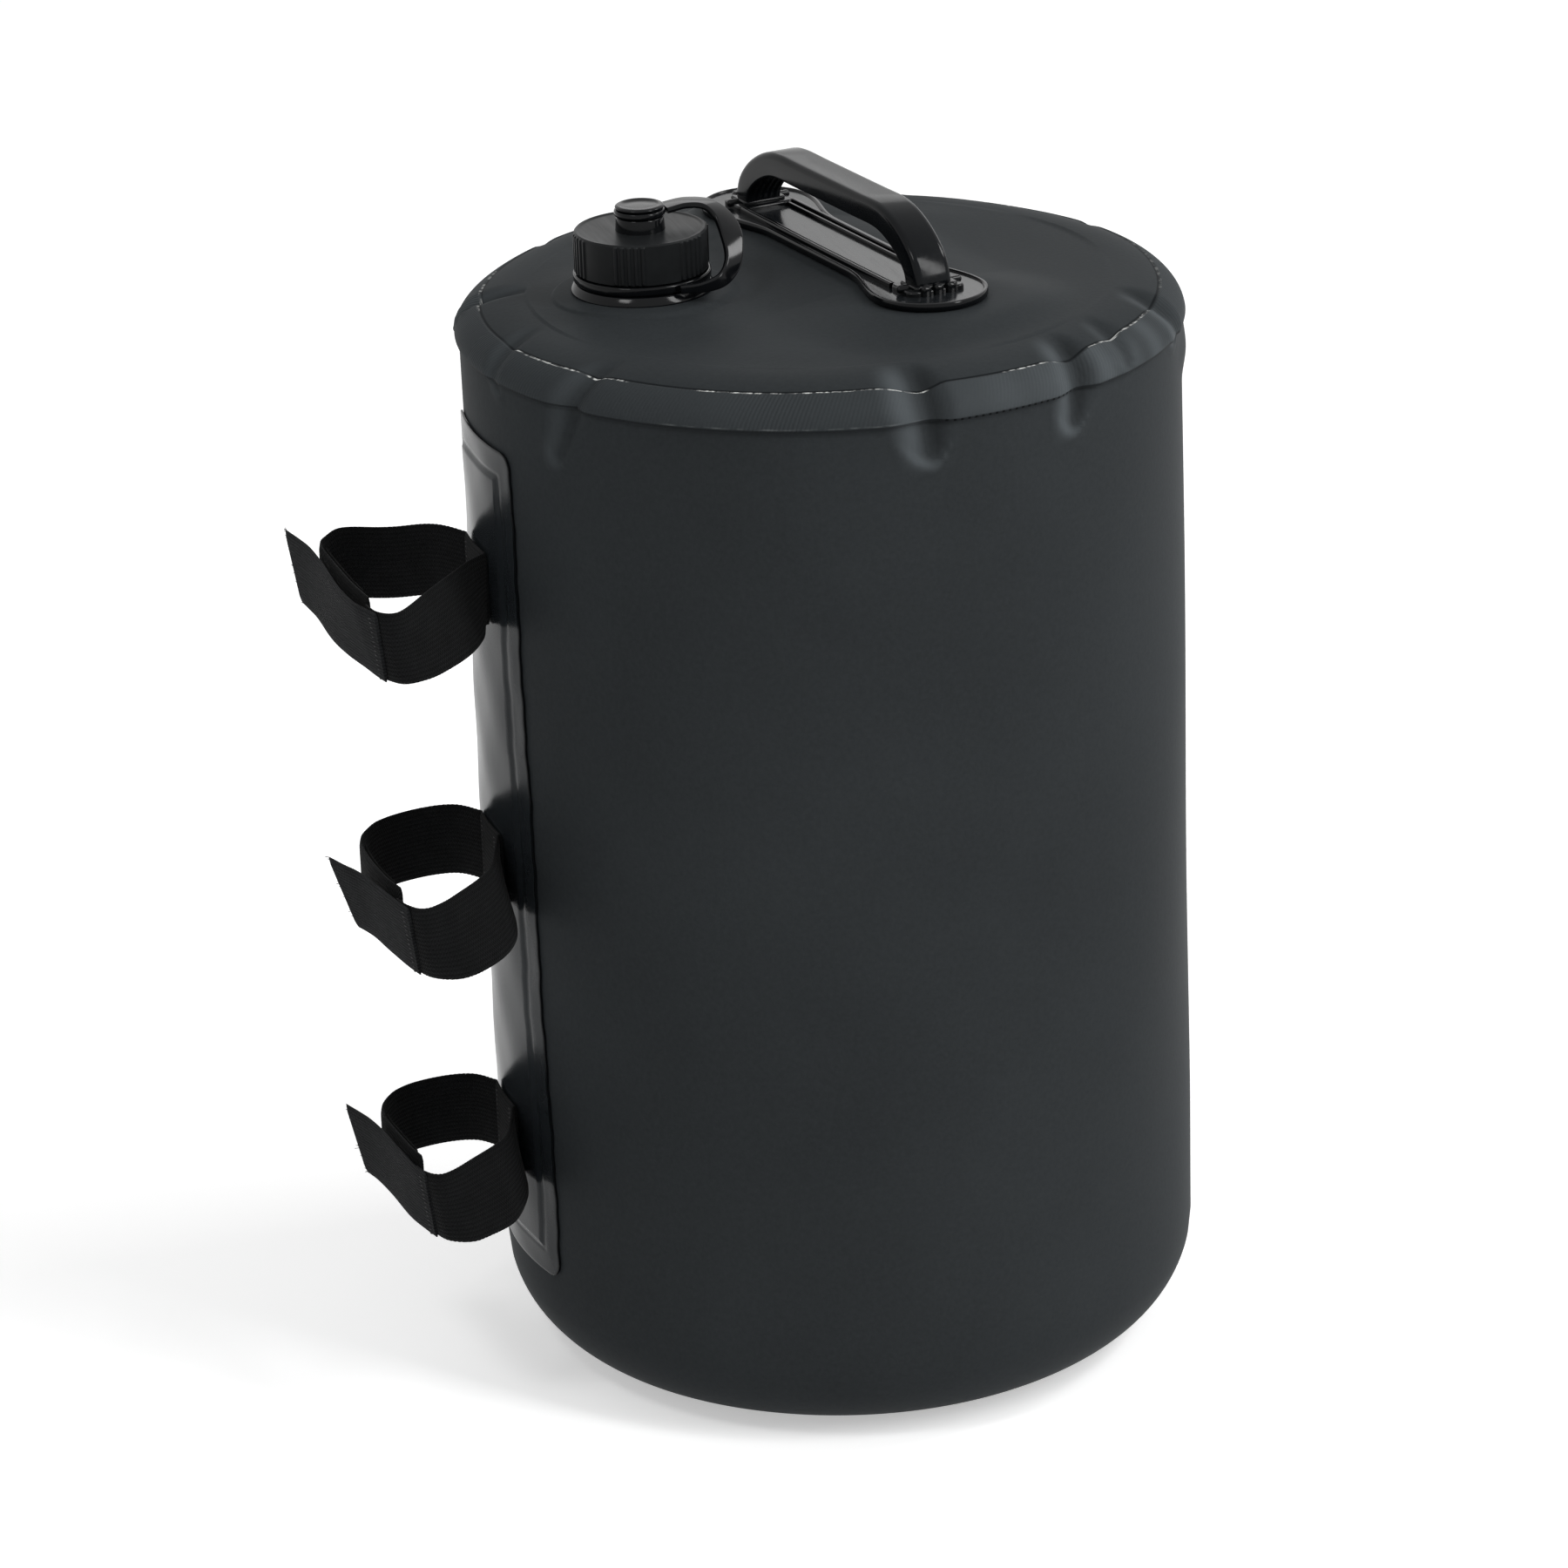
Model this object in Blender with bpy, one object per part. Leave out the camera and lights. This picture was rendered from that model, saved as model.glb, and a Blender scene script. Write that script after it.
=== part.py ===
# Soft water bag for weighting the leg of a shelter. A round coated-sheet bag stands on its flat base,
# with a screw-capped filler neck and a carrying handle on top and three hook-and-loop straps on one side.
# Metres, +Z up. The origin is the centre of the flat base, and the straps are on the -X side.

import math

import bpy
import bmesh
import numpy as np
from mathutils import Vector

# Clearance between neighbouring pieces.
gap = 0.0003

# Bag body.
bag_radius = 0.1189
bag_height = 0.371
sheet = 0.0007
shoulder_width = 0.0239
shoulder_drop = 0.013
seam_inset = 0.0079
margin_skirt = 0.0015
base_fillet = 0.034
hem_width = 0.015
bag_steps = 48
arc_steps = 5

# Strap panel welded to the side.
panel_width = 0.060
panel_bottom = 0.0425
panel_top = 0.334
panel_border = 0.009
panel_rise = 0.0006
panel_steps = 12

# Filler neck and cap, both on one vertical axis.
neck_from_side = 0.0602
neck_y = 0.0047
flange_radius = 0.0296
flange_thickness = 0.0015
neck_bore = 0.0154
neck_core = 0.0178
thread_height = 0.0014
collar_radius = 0.0224
collar_height = 0.0065
neck_height = 0.0198
thread_lead = 0.005
neck_thread_turns = 1.4
cap_thread_turns = 1.5
thread_width = 0.0018
thread_start = 0.0113
ring_height = 0.0029
ring_radius = 0.0226
cap_radius = 0.0217
cap_height = 0.0136
cap_roof = 0.0022
cap_wall = 0.0018
cap_rib = 0.0005
cap_rib_groups = 6
cap_ribs_in_group = 5
seal_thickness = 0.0010
neck_steps = 48

# Button of the cap, and the tether on it.
boss_radius = 0.0075
boss_height = 0.0042
stem_radius = 0.0035
stem_height = 0.0026
button_radius = 0.0074
button_height = 0.0013
eye_radius = 0.0084
eye_thickness = 0.0020
tether_width = 0.0085
tether_foot_width = 0.0029
tether_thickness = 0.0020

# Handle, on a raised seat of the top. Its length runs along the direction handle_angle, seen from above.
handle_x = 0.0124
handle_y = 0.0130
handle_angle = math.radians(-80.2)
seat_rise = 0.0045
seat_margin = 0.0008
seat_slope = 0.0080
foot_offset = 0.0600
plate_lobe = 0.0192
plate_waist = 0.0128
plate_lobe_offset = 0.0600
plate_thickness = 0.0020
frame_half_length = 0.0665
frame_half_width = 0.0105
frame_bar = 0.0030
frame_end = 0.0140
frame_height = 0.0018
grip_width = 0.0130
grip_thickness = 0.0085
grip_height = 0.0262
socket_depth = 0.0025

# Straps: 25 mm webbing with hook tape on one end and loop tape on the other.
strap_width = 0.025
webbing = 0.0014
hook_thickness = 0.0012
loop_thickness = 0.0010
root_length = 0.024
strap_spacing = 0.099
middle_strap_height = 0.185
near_fold = math.radians(22)
far_fold = math.radians(30)
closed_gap_from_seam = 0.012
strap_loops = {
    "upper": {"depth": 0.0503, "near": 0.056, "far": 0.031, "curl": 0.016, "tip": 0.0365, "flare": 0.002},
    "middle": {"depth": 0.0480, "near": 0.066, "far": 0.0215, "curl": 0.023, "tip": -0.0116, "flare": 0.006},
    "lower": {"depth": 0.0450, "near": 0.057, "far": 0.0214, "curl": 0.023, "tip": 0.009, "flare": 0.006},
}

# Sizes that follow from the ones above.
skirt_radius = bag_radius + sheet + gap
flat_top_radius = skirt_radius - shoulder_width
seam_radius = skirt_radius - seam_inset
neck_x = neck_from_side - bag_radius
panel_radius = bag_radius + gap
panel_thickness = sheet + panel_rise
root_radius = panel_radius + panel_thickness + gap + webbing / 2
flange_top = bag_height - sheet - gap
collar_bottom = bag_height + gap
neck_rim = bag_height + neck_height
ring_bottom = bag_height + collar_height + gap
ring_top = ring_bottom + ring_height
cap_bottom = ring_top + gap
cap_top = cap_bottom + cap_height
cap_inner = cap_radius - cap_wall
plate_bottom = bag_height + seat_rise + gap
plate_top = plate_bottom + plate_thickness
eye_bottom = cap_top + boss_height + gap


def clear_scene():
    for old in list(bpy.data.objects):
        bpy.data.objects.remove(old, do_unlink=True)


def make_material(name, colour, roughness, metallic=0.0):
    material = bpy.data.materials.new(name)
    material.use_nodes = True
    shader = material.node_tree.nodes["Principled BSDF"]
    shader.inputs["Base Color"].default_value = (*colour, 1.0)
    shader.inputs["Roughness"].default_value = roughness
    shader.inputs["Metallic"].default_value = metallic
    return material


def finish_object(name, bm, material, location=(0, 0, 0), angle=0.0, parent=None):
    """Turns the bmesh into a named object, smooth except at its sharp edges."""
    bmesh.ops.recalc_face_normals(bm, faces=bm.faces)
    mesh = bpy.data.meshes.new(name)
    bm.to_mesh(mesh)
    bm.free()
    mesh.shade_smooth()
    mesh.set_sharp_from_angle(angle=math.radians(30))
    obj = bpy.data.objects.new(name, mesh)
    bpy.context.scene.collection.objects.link(obj)
    obj.location = location
    obj.rotation_euler = (0, 0, angle)
    if material:
        obj.data.materials.append(material)
    if parent:
        obj.parent = parent
        obj.location = Vector(location) - parent.location
    return obj


def make_pivot(name, location):
    pivot = bpy.data.objects.new(name, None)
    bpy.context.scene.collection.objects.link(pivot)
    pivot.location = location
    return pivot


def boolean(obj, tool, operation):
    modifier = obj.modifiers.new(tool.name, "BOOLEAN")
    modifier.operation = operation
    modifier.object = tool
    tool.hide_render = True
    tool.display_type = "WIRE"


def turned(profile, steps):
    """Spins a profile of (radius, height) points round Z. A profile that starts on the axis ends on it."""
    bm = bmesh.new()
    points = [bm.verts.new((radius, 0, height)) for radius, height in profile]
    for first, second in zip(points, points[1:]):
        bm.edges.new((first, second))
    if profile[0][0] > 0:
        bm.edges.new((points[-1], points[0]))
    bmesh.ops.spin(
        bm,
        geom=bm.verts[:] + bm.edges[:],
        cent=(0, 0, 0),
        axis=(0, 0, 1),
        angle=math.tau,
        steps=steps,
        use_merge=True,
    )
    bmesh.ops.remove_doubles(bm, verts=bm.verts, dist=0.00001)
    return bm


def tube_between(rings):
    """Closed body through rings of equal point counts, with a flat face at each end."""
    bm = bmesh.new()
    loops = [[bm.verts.new(point) for point in ring] for ring in rings]
    count = len(loops[0])
    for first, second in zip(loops, loops[1:]):
        for i in range(count):
            j = (i + 1) % count
            bm.faces.new((first[i], first[j], second[j], second[i]))
    bm.faces.new(loops[0])
    bm.faces.new(loops[-1][::-1])
    return bm


def smooth_path(points, spacing):
    """Catmull-Rom curve through the points, read at about equal spacing."""
    knots = [np.array(point, float) for point in points]
    knots = [2 * knots[0] - knots[1], *knots, 2 * knots[-1] - knots[-2]]
    fine = []
    for a, b, c, d in zip(knots, knots[1:], knots[2:], knots[3:]):
        for t in np.linspace(0, 1, 24, endpoint=False):
            square = 2 * a - 5 * b + 4 * c - d
            cube = 3 * b - a - 3 * c + d
            fine.append(0.5 * (2 * b + (c - a) * t + square * t**2 + cube * t**3))
    fine.append(knots[-2])
    fine = np.array(fine)
    run = np.concatenate([[0], np.cumsum(np.linalg.norm(np.diff(fine, axis=0), axis=1))])
    at = np.linspace(0, run[-1], max(2, round(run[-1] / spacing) + 1))
    return np.column_stack([np.interp(at, run, fine[:, axis]) for axis in range(fine.shape[1])])


def tangents(path):
    steps = np.gradient(path, axis=0)
    return steps / np.linalg.norm(steps, axis=1, keepdims=True)


def band(path, across, width, thickness, chamfer=0.0):
    """Flat strip along a path: width, one or one a point, along across, and thickness square to both."""
    along = tangents(path)
    across = np.broadcast_to(np.asarray(across, float), path.shape)
    across = across - (across * along).sum(axis=1, keepdims=True) * along
    across = across / np.linalg.norm(across, axis=1, keepdims=True)
    normal = np.cross(along, across)
    t, c = thickness / 2, chamfer
    rings = []
    for point, side, out, w in zip(path, across, normal, np.broadcast_to(width / 2, len(path))):
        section = [(-w, -t), (w, -t), (w, t), (-w, t)]
        if chamfer:
            section = [(c - w, -t), (w - c, -t), (w, c - t), (w, t - c)]
            section += [(-x, -y) for x, y in section]
        rings.append([point + x * side + y * out for x, y in section])
    return tube_between(rings)


def upright_band(plan, height, thickness, pivot=(0, 0)):
    """Strip of webbing standing on edge along a plan curve, its mesh placed about a pivot."""
    path = np.column_stack([plan - np.array(pivot), np.full(len(plan), height)])
    return band(path, (0, 0, 1), strap_width, thickness)


def shoulder(inset, first, last):
    """Points of the rounded shoulder, inset from the outside, between two angles from the vertical wall."""
    points = []
    for angle in np.linspace(first, last, arc_steps + 1):
        radius = flat_top_radius + (shoulder_width - inset) * math.cos(angle)
        height = bag_height - shoulder_drop + (shoulder_drop - inset) * math.sin(angle)
        points.append((radius, height))
    return points


def base_curve(inset):
    """Points of the rounded lower edge, from the wall down to the flat hem."""
    centre = bag_radius - base_fillet
    points = []
    for angle in np.linspace(0, math.pi / 2, arc_steps + 1):
        radius = centre + (base_fillet - inset) * math.cos(angle)
        height = sheet + gap + base_fillet - (base_fillet - inset) * math.sin(angle)
        points.append((radius, height))
    return points


def plate_outline(grow=0.0):
    """Handle plate seen from above: a round lobe at each foot and a waist between them."""
    lobe = plate_lobe + grow
    waist = plate_waist + grow
    points = []
    for end in (0, math.pi):
        for angle in np.linspace(-math.pi / 2, math.pi / 2, 11):
            x = plate_lobe_offset + lobe * math.cos(angle)
            y = lobe * math.sin(angle)
            points.append((x * math.cos(end), y * math.cos(end)))
        for share in np.linspace(0.1, 0.9, 9):
            x = plate_lobe_offset * (1 - 2 * share)
            blend = 0.5 + 0.5 * math.cos(math.pi * min(1.0, 3.6 * min(share, 1 - share)))
            y = waist + (lobe - waist) * blend
            points.append((x * math.cos(end), y * math.cos(end)))
    return points


def handle_seat(name, lower):
    """Raised seat of the handle plate, sloping down to the flat top all round, lowered by a sheet or not."""
    edges = (plate_outline(seat_slope), plate_outline(seat_margin))
    heights = (bag_height - sheet / 2 - lower, bag_height + seat_rise - lower)
    rings = [[(x, y, height) for x, y in edge] for edge, height in zip(edges, heights)]
    return finish_object(name, tube_between(rings), None, (handle_x, handle_y, 0), handle_angle)


def make_bag(sheet_finish):
    skirt = bag_height - shoulder_drop - margin_skirt
    outside = [(0, bag_height), *shoulder(0, math.pi / 2, 0), (skirt_radius, skirt)]
    inside = [(bag_radius + gap, skirt), *shoulder(sheet, 0, math.pi / 2), (0, bag_height - sheet)]
    top = finish_object("top_panel", turned(outside + inside, bag_steps), sheet_finish)
    boolean(top, handle_seat("seat_outside", 0), "UNION")
    boolean(top, handle_seat("seat_inside", sheet), "DIFFERENCE")
    rim = neck_core + gap
    hole = turned([(0, flange_top), (0, collar_bottom), (rim, collar_bottom), (rim, flange_top)], neck_steps)
    cutter = finish_object("neck_hole", hole, None, (neck_x, neck_y, 0))
    boolean(top, cutter, "DIFFERENCE")

    wall_edge = math.acos((seam_radius - flat_top_radius) / shoulder_width)
    hem = bag_radius - base_fillet - hem_width
    outside = [*shoulder(sheet + gap, wall_edge, 0), *base_curve(0), (hem, sheet + gap)]
    inside = [(hem, 2 * sheet + gap), *base_curve(sheet)[::-1], *shoulder(2 * sheet + gap, 0, wall_edge)]
    finish_object("side_wall", turned(outside + inside, bag_steps), sheet_finish)

    base = bag_radius - base_fillet
    disc = turned([(0, sheet), (base, sheet), (base, 0), (0, 0)], bag_steps)
    finish_object("bottom_panel", disc, sheet_finish)


def make_strap_panel(finish):
    """Curved panel: flat weld border, then a raised middle."""
    half = panel_width / 2 / panel_radius
    border = panel_border / panel_radius
    ramp = panel_rise / panel_radius
    middle = np.linspace(-half + border + ramp, half - border - ramp, panel_steps)
    angles = [-half, -half + border, *middle, half - border, half]
    low, high = panel_bottom + panel_border, panel_top - panel_border
    heights = [panel_bottom, low, low + panel_rise, high - panel_rise, high, panel_top]

    def at(angle, height, radius):
        return (-radius * math.cos(angle), radius * math.sin(angle), height)

    def outer(i, j):
        raised = 2 <= i < len(angles) - 2 and 2 <= j < len(heights) - 2
        return panel_radius + sheet + (panel_rise if raised else 0)

    bm = bmesh.new()
    back = [[bm.verts.new(at(a, z, panel_radius)) for z in heights] for a in angles]
    front = []
    for i, a in enumerate(angles):
        front.append([bm.verts.new(at(a, z, outer(i, j))) for j, z in enumerate(heights)])
    for sheet_points in (back, front):
        for column, following in zip(sheet_points, sheet_points[1:]):
            for j in range(len(heights) - 1):
                bm.faces.new((column[j], following[j], following[j + 1], column[j + 1]))
    bmesh.ops.bridge_loops(bm, edges=[edge for edge in bm.edges if edge.is_boundary])
    finish_object("strap_panel", bm, finish)


def thread_ridge(name, wall, crest, start, first_turn, turns):
    """Helical ridge on a wall of one radius, its crest at another, sunk a little into the wall."""
    root = wall - math.copysign(0.0003, crest - wall)
    count = round(turns * neck_steps)
    rings = []
    for step in range(count + 1):
        turn = first_turn + step / neck_steps
        angle = math.tau * turn
        height = start + thread_lead * turn
        taper = min(1.0, (step + 1) / 6, (count - step + 1) / 6)
        top = wall + (crest - wall) * taper
        ring = []
        for radius, offset in ((root, -0.5), (top, -0.22), (top, 0.22), (root, 0.5)):
            ring.append((radius * math.cos(angle), radius * math.sin(angle), height + offset * thread_width))
        rings.append(ring)
    return finish_object(name, tube_between(rings), None, (neck_x, neck_y, 0))


def make_neck(finish):
    """Weld flange, threaded tube and collar in one turned piece."""
    profile = [
        (neck_bore, neck_rim),
        (neck_core, neck_rim),
        (neck_core, bag_height + collar_height),
        (collar_radius, bag_height + collar_height),
        (collar_radius, bag_height + collar_height / 2),
        (collar_radius - 0.0015, collar_bottom),
        (neck_core, collar_bottom),
        (neck_core, flange_top),
        (flange_radius, flange_top),
        (flange_radius, flange_top - flange_thickness),
        (neck_bore, flange_top - flange_thickness),
    ]
    neck = finish_object("filler_neck", turned(profile, neck_steps), finish, (neck_x, neck_y, 0))
    crest = neck_core + thread_height
    ridge = thread_ridge("neck_thread", neck_core, crest, bag_height + thread_start, 0, neck_thread_turns)
    boolean(neck, ridge, "UNION")


def cap_outline():
    """Plan outline of the cap's skirt, with its grip ribs in groups."""
    sector = math.tau / cap_rib_groups
    rib = sector / 2 / cap_ribs_in_group
    points = []
    for group in range(cap_rib_groups):
        start = group * sector
        for number in range(cap_ribs_in_group):
            foot = start + number * rib
            for part, rise in ((0.0, 0), (0.25, cap_rib), (0.6, cap_rib), (0.85, 0)):
                points.append((foot + part * rib, cap_radius + rise))
        for part in (0.1, 0.4, 0.7):
            points.append((start + sector / 2 * (1 + part), cap_radius))
    return [(radius * math.cos(angle), radius * math.sin(angle)) for angle, radius in points]


def make_cap(finish, seal_finish, body):
    """Ribbed cap: roof, skirt, inner thread, and a mushroom button that holds the tether's eye."""
    outline = cap_outline()
    chamfer = 0.0008
    levels = ((cap_bottom, 1.0), (cap_top - chamfer, 1.0), (cap_top, 1.0 - chamfer / cap_radius))
    rings = [[(x * scale, y * scale, height) for x, y in outline] for height, scale in levels]
    at_axis = (neck_x, neck_y, 0)
    cap = finish_object("cap", tube_between(rings), finish, at_axis, parent=body)
    roof = cap_top - cap_roof
    room = [(0, roof), (cap_inner, roof), (cap_inner, cap_bottom - gap), (0, cap_bottom - gap)]
    boolean(cap, finish_object("cap_room", turned(room, neck_steps), None, at_axis), "DIFFERENCE")
    start = bag_height + thread_start - thread_lead / 2
    ridge = thread_ridge("cap_thread", cap_inner, neck_core + 0.0006, start, 0.45, cap_thread_turns)
    boolean(cap, ridge, "UNION")
    shelf = cap_top + boss_height
    head = shelf + stem_height
    button = [
        (0, head + button_height),
        (button_radius * 0.6, head + button_height),
        (button_radius, head + button_height / 2),
        (button_radius, head),
        (stem_radius, head),
        (stem_radius, shelf),
        (boss_radius, shelf),
        (boss_radius, cap_top - cap_roof / 2),
        (0, cap_top - cap_roof / 2),
    ]
    boolean(cap, finish_object("cap_button", turned(button, 24), None, at_axis), "UNION")

    seal = roof - gap
    edge = cap_inner - gap
    profile = [(0, seal), (edge, seal), (edge, seal - seal_thickness), (0, seal - seal_thickness)]
    finish_object("cap_seal", turned(profile, neck_steps), seal_finish, at_axis, parent=body)


def make_tether(finish, eye_body):
    """Ring on the neck, eye on the cap's button, and the flat strap that joins them."""
    at_axis = (neck_x, neck_y, 0)
    inner = neck_core + gap
    ring = [(inner, ring_top), (ring_radius, ring_top), (ring_radius, ring_bottom), (inner, ring_bottom)]
    finish_object("tether_ring", turned(ring, neck_steps), finish, at_axis)
    hole = stem_radius + gap
    top = eye_bottom + eye_thickness
    eye = [(hole, top), (eye_radius, top), (eye_radius, eye_bottom), (hole, eye_bottom)]
    finish_object("tether_eye", turned(eye, 24), finish, at_axis, parent=eye_body)

    # The route runs from the eye out over the cap's edge, down outside the skirt and back to the ring.
    level = eye_bottom + eye_thickness / 2
    foot = ring_bottom + ring_height / 2
    leave = math.radians(3)
    start = (eye_radius + gap) * math.cos(leave), (eye_radius + gap) * math.sin(leave), level
    over = cap_radius + cap_rib
    drop = level - foot
    bends = [
        (0.71, 0.018, 1.04),
        (1.02, -0.086, 1.00),
        (1.20, -0.288, 0.81),
        (1.22, -0.577, 0.57),
        (1.13, -0.878, 0.29),
        (0.91, -1.09, 0.10),
        (0.60, -1.12, 0.02),
        (0.28, -1.044, 0.00),
    ]
    route = [start] + [(x * over, y * over, foot + z * drop) for x, y, z in bends]
    turns = [
        (0, 1, 0),
        (0.15, 0.98, -0.05),
        (0.35, 0.9, -0.15),
        (0.65, 0.6, -0.4),
        (0.75, 0.4, -0.5),
        (0.5, 0.2, -0.8),
        (0.2, 0.05, -0.95),
        (0, 0, -1),
        (0, 0, -1),
    ]
    path = smooth_path(route, 0.0025)
    across = smooth_path(turns, 0.01)
    share = np.linspace(0, len(across) - 1, len(path))
    across = np.column_stack([np.interp(share, range(len(across)), across[:, axis]) for axis in range(3)])
    taper = np.clip(np.linspace(-0.45, 1.1, len(path)), 0, 1)
    widths = tether_width + (tether_foot_width - tether_width) * taper
    strap = band(path, across, widths, tether_thickness, 0.0005)
    finish_object("tether_strap", strap, finish, at_axis)


def rounded_rectangle(half_length, half_width, radius, steps=4):
    points = []
    for quarter, (sx, sy) in enumerate(((1, 1), (-1, 1), (-1, -1), (1, -1))):
        for angle in np.linspace(0, math.pi / 2, steps + 1):
            turn = angle + quarter * math.pi / 2
            x = sx * (half_length - radius) + radius * math.cos(turn)
            y = sy * (half_width - radius) + radius * math.sin(turn)
            points.append((x, y))
    return points


def prism(outline, bottom, top):
    return tube_between([[(x, y, z) for x, y in outline] for z in (bottom, top)])


def make_handle(base_finish, grip_finish):
    """Moulded base with a raised frame and two foot sockets, and the arched grip in the sockets."""
    place = (handle_x, handle_y, 0)
    frame_top = plate_top + frame_height
    plate = prism(plate_outline(), plate_bottom, plate_top)
    base = finish_object("handle_base", plate, base_finish, place, handle_angle)

    outline = rounded_rectangle(frame_half_length, frame_half_width, 0.004)
    bars = prism(outline, plate_bottom + plate_thickness / 2, frame_top)
    frame = finish_object("handle_frame", bars, None, place, handle_angle)
    inner = rounded_rectangle(frame_half_length - frame_end, frame_half_width - frame_bar, 0.002)
    well = finish_object("handle_well", prism(inner, plate_top, frame_top + gap), None, place, handle_angle)
    boolean(frame, well, "DIFFERENCE")
    boolean(base, frame, "UNION")
    socket_floor = frame_top - socket_depth
    for end in (-1, 1):
        slot = rounded_rectangle(grip_thickness / 2 + gap, grip_width / 2 + gap, 0, 0)
        shifted = [(x + end * foot_offset, y) for x, y in slot]
        socket = prism(shifted, socket_floor, frame_top + gap)
        boolean(base, finish_object("foot_socket", socket, None, place, handle_angle), "DIFFERENCE")

    top = plate_bottom + grip_height - grip_thickness / 2
    foot = socket_floor + gap
    rise = top - frame_top
    half = [
        (foot_offset, frame_top + 0.0008),
        (foot_offset - 0.0015, frame_top + 0.30 * rise),
        (foot_offset - 0.0055, frame_top + 0.54 * rise),
        (foot_offset - 0.0115, frame_top + 0.76 * rise),
        (foot_offset - 0.0190, frame_top + 0.93 * rise),
        (foot_offset - 0.0270, top),
        (foot_offset * 0.3, top),
    ]
    arch = smooth_path(half + [(-x, z) for x, z in half[::-1]], 0.004)
    profile = np.vstack([(foot_offset, foot), arch, (-foot_offset, foot)])
    path = np.column_stack([profile[:, 0], np.zeros(len(profile)), profile[:, 1]])
    grip = band(path, (0, 1, 0), grip_width, grip_thickness, 0.0015)
    finish_object("handle_grip", grip, grip_finish, place, handle_angle)


def to_world(points):
    """From (out, across) of a strap, out from its root on the panel, to (x, y)."""
    points = np.array(points, float).reshape(-1, 2)
    return np.column_stack([-(root_radius + points[:, 0]), points[:, 1]])


def turn_left(direction, angle):
    x, y = direction
    return np.array([x * math.cos(angle) - y * math.sin(angle), x * math.sin(angle) + y * math.cos(angle)])


def offset_left(plan, distance):
    along = tangents(plan)
    return plan + distance * np.column_stack([-along[:, 1], along[:, 0]])


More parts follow.
